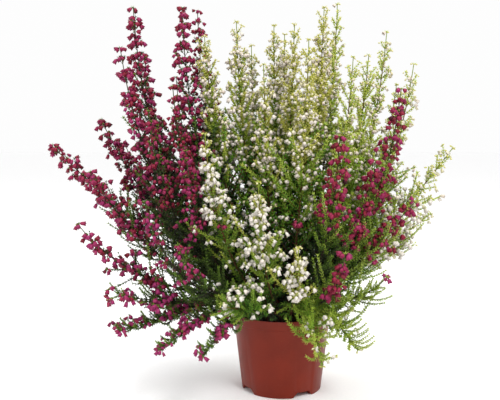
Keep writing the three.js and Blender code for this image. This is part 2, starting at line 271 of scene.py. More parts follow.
def mesh_of_bodies(name, batches, materials):
    """One mesh of many closed bodies, in metres. Every body has a square of its own on a map of
    equal squares."""
    batches = [batch for batch in batches if len(batch.rings)]
    squares = math.ceil(math.sqrt(sum(len(batch.rings) for batch in batches)))
    points, corners, sizes, slots, places = [], [], [], [], []
    marks = {"along": [], "tint": [], "age": []}
    first_point, first_body = 0, 0
    for batch in batches:
        count, ring_count, sides = batch.rings.shape[:3]
        pointed = batch.first is not None
        block = [batch.rings.reshape(count, -1, 3), batch.last[:, None]]
        if pointed:
            block.insert(0, batch.first[:, None])
        points.append(np.concatenate(block, axis=1).reshape(-1, 3))
        pattern, pattern_sizes, pattern_places = face_pattern(ring_count, sides, pointed)
        each = ring_count * sides + 1 + pointed
        corners.append((pattern + first_point + each * np.arange(count)[:, None]).ravel())
        sizes.append(np.tile(pattern_sizes, count))
        slots.append(np.full(len(pattern_sizes) * count, batch.slot))
        body = first_body + np.arange(count)
        square = stacked(body % squares, body // squares)[:, None]
        inset = MAP_INSET + (1 - 2 * MAP_INSET) * pattern_places
        places.append(((square + inset) / squares).reshape(-1, 2))
        for mark, found in marks.items():
            value = getattr(batch, mark)
            inner = np.repeat(value[:, 1:-1], sides, axis=1)
            parts = [value[:, :1]][:pointed] + [inner, value[:, -1:]]
            found.append(np.concatenate(parts, axis=1).ravel())
        first_point += each * count
        first_body += count
    points, corners, sizes, slots, places = (
        np.concatenate(found) for found in (points, corners, sizes, slots, places))
    mesh = bpy.data.meshes.new(name)
    mesh.vertices.add(len(points))
    mesh.vertices.foreach_set("co", (points * MM).astype(np.float32).ravel())
    mesh.loops.add(len(corners))
    mesh.loops.foreach_set("vertex_index", corners.astype(np.int32))
    mesh.polygons.add(len(sizes))
    starts = np.concatenate([[0], np.cumsum(sizes)[:-1]])
    mesh.polygons.foreach_set("loop_start", starts.astype(np.int32))
    mesh.polygons.foreach_set("material_index", slots.astype(np.int32))
    mesh.update(calc_edges=True)
    mesh.polygons.foreach_set("use_smooth", np.ones(len(sizes), bool))
    for mark, found in marks.items():
        layer = mesh.attributes.new(mark, "FLOAT", "POINT")
        layer.data.foreach_set("value", np.concatenate(found).astype(np.float32))
    layer = mesh.uv_layers.new(name="OFBake")
    layer.data.foreach_set("uv", places.astype(np.float32).ravel())
    for material in materials:
        mesh.materials.append(material)
    return mesh


def show(mesh, stands_for):
    """Puts a finished mesh in the scene as a piece that rides on the root body."""
    if not len(mesh.polygons):
        raise RuntimeError(f"{mesh.name} has no faces")
    piece = bpy.data.objects.new(mesh.name, mesh)
    bpy.context.scene.collection.objects.link(piece)
    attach(piece, "root")
    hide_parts(stands_for)
    return piece


# How the plants grow. The fields of the two kinds:
#   gap, first_gap: between two forks of a spire, and from its tip to the first fork
#   least, share: a flowering shoot's length, and what it gains with its distance from the tip
#   slender: how much less it gains on a leaning stem; splay: its angle to the stem
#   leafy_step, leafy_length: from one leafy shoot to the next, and how long they are
#   leafy_flowers, kept: share of leafy and of flowering shoots with bells
#   side_bells: length from which a flowering shoot has bells at its side too
#   stalk: length of a bell's stalk; age_spread: how much the bells of one cluster differ in age
#   whorls: gap and needles of the whorls on flowering shoots; stem_whorls: gap on the stem
#   bare_top: share of the spire whose stem has no needles
#   young, young_right, low_tint, trailing_tint, spire_tint: tint of the needles, and what is
#   added at the plant's right, on low sprays, on trailing ones and on flowering shoots
#   trailing_lift, trailing_step: how leafy shoots turn up, and how close they stand, where the
#   spray trails
MAGENTA = SimpleNamespace(
    gap=(6.2, 11.0), first_gap=(11, 18), least=3.0, share=0.15, slender=0.5, splay=(0.45, 0.8),
    leafy_step=3.5, leafy_length=(24, 52), leafy_flowers=0.16, kept=0.94, side_bells=12.0,
    stalk=2.0, age_spread=0.12, whorls=(3.0, 3), stem_whorls=4.2, bare_top=0.3, young=0.25,
    young_right=0.5, low_tint=0.12, trailing_tint=0.12, spire_tint=-0.24, trailing_lift=0.4,
    trailing_step=1.0)
WHITE = SimpleNamespace(
    gap=(5.2, 8.6), first_gap=(13, 21), least=7.5, share=0.11, slender=0.1, splay=(0.4, 0.85),
    leafy_step=3.4, leafy_length=(26, 54), leafy_flowers=0.75, kept=1.0, side_bells=13.0,
    stalk=1.9, age_spread=0.16, whorls=(2.4, 4), stem_whorls=3.4, bare_top=0.4, young=0.5,
    young_right=0.2, low_tint=-0.3, trailing_tint=-0.14, spire_tint=0.0, trailing_lift=1.1,
    trailing_step=0.75)

# How single sprays depart from their kind, to follow the photograph:
#   shoots, leafy: times the usual length of flowering and of leafy shoots
#   kept: share of the flowering shoots that bear bells; reach: how far from the tip bells go
#   bushy: twice as many leafy shoots, nearly of full length at any lean
#   shaded: stands in the shade of the magenta half, with many small dark bells on leafy shoots
#   shade: distance from the root up to which leafy shoots get painted shade, a darker tint
#   ripe: open white bells as on the front sprays, from this distance from the tip, whose
#   whitest hue is partly painted light
USUAL = dict(shoots=1, leafy=1, kept=None, reach=math.inf, bushy=False, shaded=False, shade=52.0,
             ripe=None)
HABITS = {
    "magenta_spray_03": dict(shoots=0.75),
    "magenta_spray_05": dict(shaded=True),
    "magenta_spray_06": dict(shaded=True, reach=125),
    "magenta_spray_07": dict(shaded=True, reach=110),
    "magenta_spray_08": dict(shoots=1.8),
    "magenta_spray_09": dict(shoots=1.5),
    "magenta_spray_10": dict(shoots=1.2),
    "magenta_spray_12": dict(leafy=1.1, kept=0.6),
    "magenta_spray_13": dict(shoots=1.4, leafy=1.15, bushy=True),
    "magenta_spray_15": dict(bushy=True),
    "magenta_spray_16": dict(shaded=True, reach=100),
    "magenta_spray_17": dict(shaded=True, reach=80, kept=0.6),
    "magenta_spray_18": dict(shaded=True, reach=45, kept=0.4),
    "magenta_spray_19": dict(shoots=0.5),
    "magenta_spray_21": dict(shoots=0.7),
    "magenta_spray_23": dict(shade=90.0),
    "magenta_spray_24": dict(shoots=1.3, shade=110.0),
    "magenta_spray_25": dict(shoots=1.3, bushy=True),
    "magenta_spray_28": dict(shoots=0.4, leafy=0.75, kept=0.13, bushy=True),
    "white_spray_01": dict(shoots=1.25),
    "white_spray_02": dict(shoots=1.25),
    "white_spray_05": dict(shade=90.0),
    "white_spray_07": dict(shade=90.0),
    "white_spray_08": dict(shade=90.0),
    "white_spray_11": dict(shoots=1.15, shade=90.0),
    "white_spray_12": dict(shoots=0.76),
    "white_spray_13": dict(shoots=1.3),
    "white_spray_15": dict(shoots=0.76),
    "white_spray_16": dict(shoots=1.15, ripe=70.0),
    "white_spray_17": dict(shoots=1.2, leafy=1.15, bushy=True, ripe=5.0),
    "white_spray_18": dict(leafy=0.7, reach=95),
    "white_spray_20": dict(kept=0.8),
    "white_spray_21": dict(kept=0.22, bushy=True),
    "white_spray_22": dict(shoots=2.0, leafy=1.45, kept=0.07, bushy=True),
    "white_spray_23": dict(shoots=1.2, leafy=1.2, kept=0.12, bushy=True),
    "white_spray_27": dict(bushy=True),
}
LOW_TIP = 140.0  # a spray whose tip is lower is loose and leafy, with bells on longer shoots
FRONT_TIP = -50.0  # white sprays whose tips are nearer than this flower most


# Stems


def root_places(tips):
    """Where each stem leaves the soil, in mm: on the way to its tip, further out for a wide tip,
    then moved apart in rounds until neighbours keep their spacing."""
    reach = np.hypot(tips[:, 0], tips[:, 1])
    share = np.minimum(1, reach / (EDGE_SLOPE * tips[:, 2]))
    roots = tips[:, :2] * (ROOT_ZONE_RADIUS * share / reach)[:, None]
    for _ in range(ROOT_ROUNDS):
        apart = roots[:, None] - roots[None]
        distance = np.linalg.norm(apart, axis=2)
        lack = np.maximum(0, ROOT_SPACING - distance)
        np.fill_diagonal(lack, 0)
        roots = roots + (apart * (ROOT_PUSH * lack / (distance + TINY))[..., None]).sum(axis=1)
        far = np.linalg.norm(roots, axis=1, keepdims=True)
        roots = roots * np.minimum(1, ROOT_ZONE_RADIUS / np.maximum(far, TINY))
    return roots


def bezier(handles, share):
    """Cubic Bezier: (1 - t)^3 a + 3 (1 - t)^2 t b + 3 (1 - t) t^2 c + t^3 d."""
    a, b, c, d = handles
    t = share[:, None]
    return (1 - t) ** 3 * a + 3 * (1 - t) ** 2 * t * b + 3 * (1 - t) * t ** 2 * c + t ** 3 * d


def sketch_stem(name, tip, lean, root):
    """First course of a stem: up out of the soil, then over to its tip at its lean, as points at
    equal steps along a cubic Bezier."""
    start = np.array([root[0], root[1], SOIL_TOP])
    outward = math.atan2(tip[1] - start[1], tip[0] - start[0])
    angle = math.radians(lean)
    heading = np.array([math.sin(angle) * math.cos(outward),
                        math.sin(angle) * math.sin(outward), math.cos(angle)])
    span = np.linalg.norm(tip - start)
    rise = max(LEAST_RISE, RISE_SHARE * span)
    approach = min(APPROACH_SHARE * span, (tip[2] - HANDLE_FLOOR) / math.cos(angle))
    if lean > TRAILING_LEAN_DEG:
        rise, approach = TRAILING_RISE, TRAILING_APPROACH * span
    handles = (start, start + rise * UP, tip - approach * heading, tip)
    share = np.linspace(0, 1, COURSE_DIVISIONS + 1)
    steps = np.linalg.norm(np.diff(bezier(handles, share), axis=0), axis=1)
    run = np.concatenate([[0], np.cumsum(steps)])
    length = run[-1]
    parts = round(length / SAMPLE_STEP)
    course = bezier(handles, np.interp(np.linspace(0, length, parts + 1), run, share))
    white = name.startswith("white")
    return SimpleNamespace(
        name=name, tip=tip, lean=lean, outward=outward, course=course, length=length,
        spire=min(SPIRE_LONGEST, SPIRE_SHARE * length), white=white,
        kind=WHITE if white else MAGENTA, trailing=lean > TRAILING_LEAN_DEG,
        low=tip[2] < LOW_TIP, right=tip[0] > 0, front=white and tip[1] < FRONT_TIP,
        habit=SimpleNamespace(**USUAL | HABITS.get(name, {})))


def spray_radius(stem, along):
    """Room of a spray at a distance along it: bare wood, then needles that fill out, then bells
    that get smaller towards the tip."""
    needles = NEEDLE_REACH_LOW + (NEEDLE_REACH - NEEDLE_REACH_LOW) * np.minimum(
        1, (along - WOODY_LENGTH) / NEEDLE_FILL_OUT)
    left = (stem.length - along) / (TIP_SHARE * stem.spire)
    bells = BELL_REACH * (1 - TIP_TAPER * np.maximum(0, 1 - left))
    leafy = np.where(along < stem.length - stem.spire, needles, bells)
    return np.where(along < WOODY_LENGTH, STEM_RADIUS, leafy)


def clear_of_pot(points, radii):
    """Moves that take points out of the pot's wall, a slanting line in the section through each
    point: away from the line's nearest spot by what is missing."""
    across = np.hypot(points[:, 0], points[:, 1])
    foot = np.array([FOOT_RADIUS - WALL / 2, 0])
    wall = np.array([RIM_RADIUS - WALL / 2, POT_HEIGHT]) - foot
    spot = stacked(across, points[:, 2])
    share = np.clip((spot - foot) @ wall / (wall @ wall), 0, 1)
    apart = spot - foot - share[:, None] * wall
    lack = np.maximum(0, radii + WALL + STEM_CLEARANCE - np.linalg.norm(apart, axis=1))
    apart = unit(apart) * lack[:, None]
    side = points[:, :2] / np.maximum(across, TINY)[:, None] * apart[:, :1]
    return np.concatenate([side, apart[:, 1:]], axis=1)


def settle(stems):
    """Bends all stems clear of each other and of the pot, in rounds. Each point that is too close
    to another stem's point moves away by half of what is missing, then each move becomes half
    itself and a quarter of each neighbour along its stem. The two lowest points stay."""
    counts = np.array([len(stem.course) for stem in stems])
    owner, rank = spread_counts(counts)
    course = np.concatenate([stem.course for stem in stems])
    radii = np.concatenate([
        spray_radius(stem, stem.length * np.linspace(0, 1, len(stem.course))) for stem in stems])
    still = rank < STILL_POINTS
    free = np.flatnonzero(~still)
    here = np.arange(len(rank))
    before = np.maximum(here - 1, 0)
    after = here + np.minimum(1, counts[owner] - 1 - rank)
    shift = np.zeros_like(course)
    for turn in range(SETTLE_ROUNDS):
        now = course + shift
        if turn % LOOK_AGAIN == 0:
            square = (now[free] ** 2).sum(axis=1)
            distance = np.sqrt(np.maximum(
                0, square[:, None] + square[None] - 2 * now[free] @ now[free].T))
            near = distance < radii[free][:, None] + radii[free][None] + LOOK_MARGIN
            near &= owner[free][:, None] < owner[free][None]
            one, other = (free[found] for found in np.nonzero(near))
        apart = now[one] - now[other]
        distance = np.linalg.norm(apart, axis=1)
        lack = np.maximum(0, radii[one] + radii[other] + STEM_CLEARANCE - distance)
        apart *= (PUSH_SHARE * lack / (distance + TINY))[:, None]
        push = clear_of_pot(now, radii)
        for axis in range(3):
            push[:, axis] += np.bincount(one, apart[:, axis], len(now))
            push[:, axis] -= np.bincount(other, apart[:, axis], len(now))
        shift = shift + push
        shift = shift / 2 + shift[before] / 4 + shift[after] / 4
        shift[still] = 0
    for index, stem in enumerate(stems):
        finish_stem(stem, (course + shift)[owner == index])


def finish_stem(stem, points):
    """Smooth curve through a stem's settled points: a Catmull-Rom spline, for which each part runs
    from b to c as b + (c - a) t / 2 + (2a - 5b + 4c - d) t^2 / 2 + (3b - a - 3c + d) t^3 / 2."""
    ends = np.concatenate([2 * points[:1] - points[1:2], points, 2 * points[-1:] - points[-2:-1]])
    a, b, c, d = (ends[i:len(ends) - 3 + i, None] for i in range(4))
    t = (np.arange(CURVE_PARTS) / CURVE_PARTS)[None, :, None]
    parts = b + ((c - a) * t + (2 * a - 5 * b + 4 * c - d) * t ** 2
                 + (3 * b - a - 3 * c + d) * t ** 3) / 2
    stem.points = np.concatenate([parts.reshape(-1, 3), points[-1:]])
    stem.run = np.concatenate(
        [[0], np.cumsum(np.linalg.norm(np.diff(stem.points, axis=0), axis=1))])
    stem.length = stem.run[-1]
    stem.spire = min(stem.spire, stem.length)
    stem.ahead = unit(np.gradient(stem.points, axis=0))
    stem.aside = np.array([-math.sin(stem.outward), math.cos(stem.outward), 0])


def stem_at(stem, along):
    """Place and frame of a stem at distances along it."""
    place, ahead = (stacked(*(np.interp(along, stem.run, axis) for axis in found.T))
                    for found in (stem.points, stem.ahead))
    ahead = unit(ahead)
    return place, ahead, *cross_frame(ahead, stem.aside)


@cache
def grow_stems():
    """All stems of the plant, settled, the magenta ones first."""
    tips = np.concatenate([MAGENTA_TIPS, WHITE_TIPS])
    names = [f"{colour}_spray_{number + 1:02d}"
             for colour, found in (("magenta", MAGENTA_TIPS), ("white", WHITE_TIPS))
             for number in range(len(found))]
    stems = [sketch_stem(name, tip[:3], tip[3], root)
             for name, tip, root in zip(names, tips, root_places(tips))]
    settle(stems)
    return stems


# Side shoots


# Room that side shoots keep from the pot: beside the rim and above it, and how far out from the
# rim they still stay above it, or at most that far below it
BESIDE_RIM = 3.0
NEAR_RIM = 5.0
OVER_RIM = 4.0
BELOW_RIM = 6.0
# Crown: the room that the plant fills, an oblong that widens with height
CROWN_FOOT = 38.0
CROWN_SLOPE = 0.36
CROWN_OBLONG = 1.8


def outside_pot(points, base):
    """Points of shoots, moved clear of the pot: out from its wall where the shoot starts outside
    it, and up over its rim where the shoot starts inside."""
    far = np.linalg.norm(points[:, :2], axis=1)
    hangs = np.linalg.norm(base[:, :2], axis=1) > RIM_RADIUS
    low = points[:, 2] < POT_HEIGHT + BESIDE_RIM
    least = np.where(hangs & low, RIM_RADIUS + BESIDE_RIM, far)
    scale = np.maximum(far, least) / np.maximum(far, TINY)
    floor = np.where(far < RIM_RADIUS + NEAR_RIM, POT_HEIGHT + OVER_RIM, POT_HEIGHT - BELOW_RIM)
    height = np.where(hangs, points[:, 2], np.maximum(points[:, 2], floor))
    return np.concatenate([points[:, :2] * scale[:, None], height[:, None]], axis=1)


def crown_depth(points):
    """How deep inside the crown points are, 1 at the plant's axis and 0 at its outside:
    1 - radius / (foot + slope (height - soil))."""
    radius = np.hypot(points[:, 0] / CROWN_OBLONG, points[:, 1])
    reach = CROWN_FOOT + CROWN_SLOPE * np.maximum(0, points[:, 2] - SOIL_TOP)
    return np.clip(1 - radius / reach, 0, 1)


def grow_shoots(stem, along, turn, length, splay, lift):
    """Side shoots at distances along a stem, each turned about it by its own angle. A shoot leaves
    the stem at its splay angle and half way bends up towards the light, so it has three handles:
    its base, its middle and its end."""
    base, ahead, across, beside = stem_at(stem, along)
    out = turned(across, beside, turn)
    first = turned(ahead, out, splay)
    second = unit(first + lift[:, None] * UP)
    middle = base + first * length[:, None] / 2
    end = middle + second * length[:, None] / 2
    handles = (base, outside_pot(middle, base), outside_pot(end, base))
    return SimpleNamespace(handles=handles, aside=unit(np.cross(ahead, out)), length=length,
                           along=along, depth=crown_depth(handles[2]))


def shoot_at(shoots, owner, share):
    """Place and frame on shoots at a share of their length: (1 - t)^2 a + 2 (1 - t) t b + t^2 c."""
    a, b, c = (handle[owner] for handle in shoots.handles)
    t = share[:, None]
    place = (1 - t) ** 2 * a + 2 * (1 - t) * t * b + t ** 2 * c
    ahead = unit((1 - t) * (b - a) + t * (c - b))
    return place, ahead, *cross_frame(ahead, shoots.aside[owner])


FORKS = 40  # more than the longest spire has room for
FORK = (2, 5)  # shoots to a fork, the upper number left out
GAP_CHANGE = (1.25, 0.6)  # forks stand closer together further down
LOW_GAP = 0.7
TRAILING_GAP = 0.8
FORK_SCATTER = 1.6
TURN_SCATTER = 0.3
SLENDER_LEAN_DEG = 40
LOW_SHOOT = 9.0
SHOOT_SPREAD = (0.45, 1.4)
SPIRE_LIFT = (0.1, 0.5)
TRAILING_SPIRE_LIFT = 1.1  # flowering shoots of a trailing spray turn up to the light


def spire_shoots(stem, rng):
    """Short flowering shoots in forks of two to four up the spire, longer further down from the
    tip. left says how far each one is from the tip."""
    kind, closer = stem.kind, TRAILING_GAP if stem.trailing else 1
    gaps = rng.uniform(*kind.gap, FORKS) * np.linspace(*GAP_CHANGE, FORKS)
    gaps = gaps * (LOW_GAP if stem.low else 1) * closer
    first = rng.uniform(*kind.first_gap) * closer ** 3
    left = first + np.cumsum(gaps) - gaps[0]
    left = left[left < stem.spire]
    counts = rng.integers(*FORK, len(left))
    owner, rank = spread_counts(counts)
    left = left[owner] + rng.uniform(-FORK_SCATTER, FORK_SCATTER, len(owner))
    turn = 2 * math.pi * rank / counts[owner] + GOLDEN_TURN * owner
    turn = turn + rng.normal(0, TURN_SCATTER, len(owner))
    slender = 1 - kind.slender * min(1, stem.lean / SLENDER_LEAN_DEG)
    length = kind.least + kind.share * slender * left
    length = length * stem.habit.shoots + LOW_SHOOT * stem.low
    length = length * rng.uniform(*SHOOT_SPREAD, len(owner))
    splay = rng.uniform(*kind.splay, len(owner))
    lift = rng.uniform(*SPIRE_LIFT, len(owner)) + TRAILING_SPIRE_LIFT * stem.trailing
    shoots = grow_shoots(stem, stem.length - left, turn, length, splay, lift)
    shoots.left = left
    return shoots


LEAFY_FROM = 13.0
LEAFY_SCATTER = 2
LEAFY_OUT_OF_SPIRE = 0.8  # share of the spire, from the tip, without leafy shoots
LEANING_OUT_OF_SPIRE = 0.62
LEANING_DEG = 25.0
BUSHY_STEP = 0.5
BUSHY_LENGTH = 0.9
BUSHY_LIFT = 0.4
FULL_FROM = 60  # leafy shoots reach their full length this far from the root
LEAST_LEAFY = 0.4
LEANING_SHORTER = 0.35
LEANING_MOST_DEG = 60
TRAILING_LENGTH = 0.75
LEAFY_SPLAY = (0.65, 1.1)
LEAFY_LIFT = (0.3, 1.3)
SKIRT = 46.0  # leafy shoots closer to the root than this spread over the rim
SKIRT_DROP = 0.7


def leafy_shoots(stem, rng):
    """Longer leafy shoots up the green part, turned on by the golden angle each time."""
    kind, habit = stem.kind, stem.habit
    bare = LEANING_OUT_OF_SPIRE if stem.lean > LEANING_DEG else LEAFY_OUT_OF_SPIRE
    step = kind.leafy_step * (BUSHY_STEP if habit.bushy else 1)
    step = step * (kind.trailing_step if stem.trailing else 1)
    along = np.arange(LEAFY_FROM, stem.length - bare * stem.spire, step)
    along = along + rng.uniform(-LEAFY_SCATTER, LEAFY_SCATTER, len(along))
    turn = GOLDEN_TURN * np.arange(len(along)) + rng.normal(0, TURN_SCATTER, len(along))
    length = rng.uniform(*kind.leafy_length, len(along))
    length = length * np.clip(along / FULL_FROM, LEAST_LEAFY, 1)
    length = length * (BUSHY_LENGTH if habit.bushy
                       else 1 - LEANING_SHORTER * min(1, stem.lean / LEANING_MOST_DEG))
    length = length * (TRAILING_LENGTH if stem.trailing else 1) * habit.leafy
    splay = rng.uniform(*LEAFY_SPLAY, len(along))
    lift = rng.uniform(*LEAFY_LIFT, len(along)) - np.where(along < SKIRT, SKIRT_DROP, 0)
    lift = lift + BUSHY_LIFT * habit.bushy + kind.trailing_lift * stem.trailing
    return grow_shoots(stem, along, turn, length, splay, lift)


# Wood, needles and stalks


LEAST_RINGS = 12
RING_STEP = 12
STEM_SIDES = 5
STEM_DEPTH = 5.0  # how deep in the soil the visible stem starts
STEM_FOOT_RADIUS = 1.45
STEM_THINS = 1.0
STEM_TINT = 0.1  # of its bark, which gets greener on the way up and most of all at the top
STEM_GREENER = 0.3
STEM_TOP_GREENER = 0.4
TWIG_SIDES = 3
TWIG_REACH = 0.98  # share of a shoot's length where its last ring sits
TWIG_RADIUS = 0.6
TWIG_THINS = 0.28
TWIG_FULL_LENGTH = 22  # shorter shoots are thinner too, down to the least share
TWIG_LEAST = 0.6
TWIG_GREENER = 0.25


def tube(lines, aside, radii, sides):
    """Rings round lines of points: each point plus radius (cos a across + sin a beside), the frame
    square to the line. lines is (bodies, points, 3), radii fits (bodies, points)."""
    across, beside = cross_frame(unit(np.gradient(lines, axis=1)), aside)
    ring = turned(across[:, :, None], beside[:, :, None], ring_angles(sides))
    return lines[:, :, None] + ring * np.asarray(radii)[..., None, None]


def stem_tube(stem):
    """The main stem: a tube that starts in the soil and thins towards its tip. Its tint is
    tint + greener t + top greener clip(4t - 3, 0, 1), with t from 0 at the root to 1."""
    rings = max(LEAST_RINGS, int(stem.length / RING_STEP))
    along = np.concatenate([[-STEM_DEPTH], np.linspace(0, stem.length, rings)])
    place, *_ = stem_at(stem, np.maximum(along, 0))
    place[:, 2] += np.minimum(along, 0)
    share = np.maximum(along, 0) / stem.length
    radius = STEM_FOOT_RADIUS - STEM_THINS * share
    tint = STEM_TINT + STEM_GREENER * share + STEM_TOP_GREENER * np.clip(4 * share - 3, 0, 1)
    return ring_bodies(tube(place[None], stem.aside, radius[None], STEM_SIDES), None,
                       place[-1:] + stem.ahead[-1:], 0, np.linspace(0, 1, len(along) + 2)[None],
                       np.concatenate([tint[:1], tint, tint[-1:]])[None])


def shoot_tubes(shoots, tint, thick, points=4):
    """Side shoots as closed three-sided tubes along their curves, thick times as wide."""
    count = len(shoots.length)
    share = np.linspace(0, TWIG_REACH, points)
    place, *_ = shoot_at(shoots, np.repeat(np.arange(count), points), np.tile(share, count))
    thick = thick * np.clip(shoots.length / TWIG_FULL_LENGTH, TWIG_LEAST, 1)
    radius = (TWIG_RADIUS - TWIG_THINS * share) * thick[:, None]
    rings = tube(place.reshape(count, points, 3), shoots.aside[:, None], radius, TWIG_SIDES)
    tip = shoot_at(shoots, np.arange(count), np.ones(count))[0]
    greener = TWIG_GREENER * np.concatenate([[0], share, [1]])
    return ring_bodies(rings, None, tip, 0, np.linspace(0, 1, points + 2)[None],
                       tint[:, None] + greener[None])


def spikes(foot, tip, heading, aside, width, flatness, tint):
    """Needles and stalks: slim closed spikes, each with a three-sided foot of the given width and
    flatness, square to its heading, and a point. They take the piece's second material."""
    across, beside = cross_frame(heading, aside)
    ring = turned(flatness * across[:, None], beside[:, None], ring_angles(3)) * width / 2
    return ring_bodies((foot[:, None] + ring)[:, None], None, tip, 1, [[0, 0, 1]], tint)


NEEDLE_INSET = 0.25  # how far a needle's foot sits inside its twig
NEEDLE_FLATNESS = 0.7
NEEDLE_TINTS = [[0, 0, 0.15]]  # a needle is paler at its point
NEEDLE_SPREAD = (0.8, 1.12)
NEEDLE_TURN = 0.18  # how much needles stray in turn, in opening and in tint
NEEDLE_OPENING = 0.14
NEEDLE_TINTING = 0.06
# Towards a shoot's tip needles close up, get shorter and fresher
TIP_CLOSES = 0.35
TIP_SHORTER = 0.3
TIP_FRESHER = 0.3


def whorls(place, ahead, across, beside, start_turn, count, splay, length, width, tint, rng):
    """A whorl of needles at each place, spread evenly about the twig and leaning along it."""
    owner = np.repeat(np.arange(len(place)), count)
    start_turn, splay, length, width, tint = (
        np.broadcast_to(value, len(place))[owner]
        for value in (start_turn, splay, length, width, tint))
    turn = start_turn + 2 * math.pi * np.tile(np.arange(count), len(place)) / count
    turn = turn + rng.normal(0, NEEDLE_TURN, len(owner))
    open_by = splay + rng.normal(0, NEEDLE_OPENING, len(owner))
    out = turned(across[owner], beside[owner], turn)
    heading = turned(ahead[owner], out, open_by)
    long = length * rng.uniform(*NEEDLE_SPREAD, len(owner))
    tint = tint + rng.normal(0, NEEDLE_TINTING, len(owner))
    return spikes(place[owner] + heading * NEEDLE_INSET, place[owner] + heading * long[:, None],
                  heading, np.cross(ahead[owner], out), width[:, None, None], NEEDLE_FLATNESS,
                  tint[:, None] + NEEDLE_TINTS)


def needles_on_shoots(shoots, gap, count, splay, length, width, tint, rng):
    """Whorls at equal steps along shoots, each turned half a step from the last, smaller at the
    shoot's tip. Every shoot has its own gap, needle length and needle width."""
    counts = np.maximum(1, (shoots.length / gap).astype(int))
    owner, rank = spread_counts(counts)
    share = (rank + 1) / counts[owner]
    return whorls(*shoot_at(shoots, owner, share), rank * math.pi / count + owner, count,
                  splay * (1 - TIP_CLOSES * share), length[owner] * (1 - TIP_SHORTER * share),
                  width[owner], tint[owner] + TIP_FRESHER * share, rng)


NEEDLE_OPEN = 0.85
LEAFY_WHORL = 4
LEAFY_WHORL_GAP = 2.85
LOW_WHORL_GAP = 2.5
LOW_SPIRE_WHORL_GAP = 1.8
TRAILING_WHORL_GAP = 2.9
TRAILING_OPEN = 1.15  # how far needles stand out on white trailing sprays
# Whorls on the main stem: where they start, how each turns on, how they open
STEM_WHORLS_FROM = 40.0
STEM_WHORL_TURN = 0.8
STEM_WHORL_OPEN = 0.7
TRAILING_BARE = 0.1
TIP_WHORL = 5
TIP_WHORL_INSET = 0.2
TIP_WHORL_OPEN = 1.05
TIP_NEEDLE = 0.8
# Deep inside the crown needles are wider, longer and further apart, twigs thicker, and the
# needles' tint is darkened there as painted shade
INNER_GAP = 0.9
INNER_WIDTH = 1.6
INNER_LENGTH = 0.6
INNER_TWIG = 0.9
INNER_PAINTED_SHADE = 0.42
# Needles on flowering shoots: size, and how much longer they get deep inside, from how far down
SPIRE_NEEDLE = 0.82
SPIRE_NEEDLE_WIDTH = 1.15
HIDDEN_LONGER = 0.6
HIDDEN_FROM = 20
HIDDEN_OVER = 70
# Tints: leafy shoots get fresher up the stem and are darkened at its foot as painted shade,
# spires get fresher at their tip
LEAFY_FOOT_TINT = 0.45
LEAFY_TINT_RISE = 0.85
FOOT_SHADE = 0.4
FOOT_SHADE_OVER = 24
LEAFY_TINTING = 0.12
SPIRE_TINT_RISE = 0.25
SPIRE_TINTING = 0.1
LEAFY_TWIG_TINT = 0.15
SPIRE_TWIG_TINT = 0.1
TIP_TINT = 0.4


def grow_green(stem, spire, leafy, sizes, rng):
    """The stem, its shoots and its needles."""
    kind, needle, width = stem.kind, sizes.needle / MM, sizes.needle_width / MM
    inner, left = leafy.depth, spire.left
    hidden = spire.depth * np.clip((left - HIDDEN_FROM) / HIDDEN_OVER, 0, 1)
    young = kind.young + stem.right * kind.young_right
    young = young + (kind.trailing_tint if stem.trailing else stem.low * kind.low_tint)
    leafy_tint = young * (LEAFY_FOOT_TINT + LEAFY_TINT_RISE * leafy.along / stem.length)
    # Painted shade: leafy needles get a darker tint the deeper they sit in the crown
    leafy_tint = leafy_tint - INNER_PAINTED_SHADE * inner
    # Painted shade: leafy shoots low on the stem, up to the habit's shade distance, get a darker
    # tint
    if not stem.trailing:
        leafy_tint -= FOOT_SHADE * np.clip((stem.habit.shade - leafy.along) / FOOT_SHADE_OVER, 0, 1)
    leafy_tint = leafy_tint + rng.normal(0, LEAFY_TINTING, len(leafy_tint))
    spire_tint = young + kind.spire_tint + SPIRE_TINT_RISE * (1 - left / stem.spire)
    spire_tint = spire_tint + rng.normal(0, SPIRE_TINTING, len(left))
    (gap, count), leafy_gap, splay = kind.whorls, LEAFY_WHORL_GAP, NEEDLE_OPEN
    if stem.low:
        gap, count, leafy_gap = LOW_SPIRE_WHORL_GAP, LEAFY_WHORL, LOW_WHORL_GAP
    if stem.trailing and stem.white:
        gap, leafy_gap, splay = TRAILING_WHORL_GAP, TRAILING_WHORL_GAP, TRAILING_OPEN
    bare = kind.bare_top * (TRAILING_BARE if stem.trailing else 1) * stem.spire
    along = np.arange(STEM_WHORLS_FROM, stem.length - bare, kind.stem_whorls)
    return [
        stem_tube(stem),
        shoot_tubes(leafy, LEAFY_TWIG_TINT + leafy_tint, 1 + INNER_TWIG * inner),
        shoot_tubes(spire, SPIRE_TWIG_TINT + spire_tint, 1, 3),
        needles_on_shoots(leafy, leafy_gap * (1 + INNER_GAP * inner), LEAFY_WHORL, splay,
                          needle * (1 + INNER_LENGTH * inner), width * (1 + INNER_WIDTH * inner),
                          leafy_tint, rng),
        needles_on_shoots(spire, gap, count, splay,
                          needle * SPIRE_NEEDLE * (1 + HIDDEN_LONGER * hidden),
                          SPIRE_NEEDLE_WIDTH * width * SPIRE_NEEDLE * (1 + hidden),
                          spire_tint, rng),
        whorls(*stem_at(stem, along), STEM_WHORL_TURN * np.arange(len(along)), LEAFY_WHORL,
               STEM_WHORL_OPEN, needle, width, young * along / stem.length, rng),
        whorls(*stem_at(stem, np.array([stem.length - TIP_WHORL_INSET])), 0, TIP_WHORL,
               TIP_WHORL_OPEN, TIP_NEEDLE * needle, width, young + TIP_TINT, rng),
    ]


# Bells


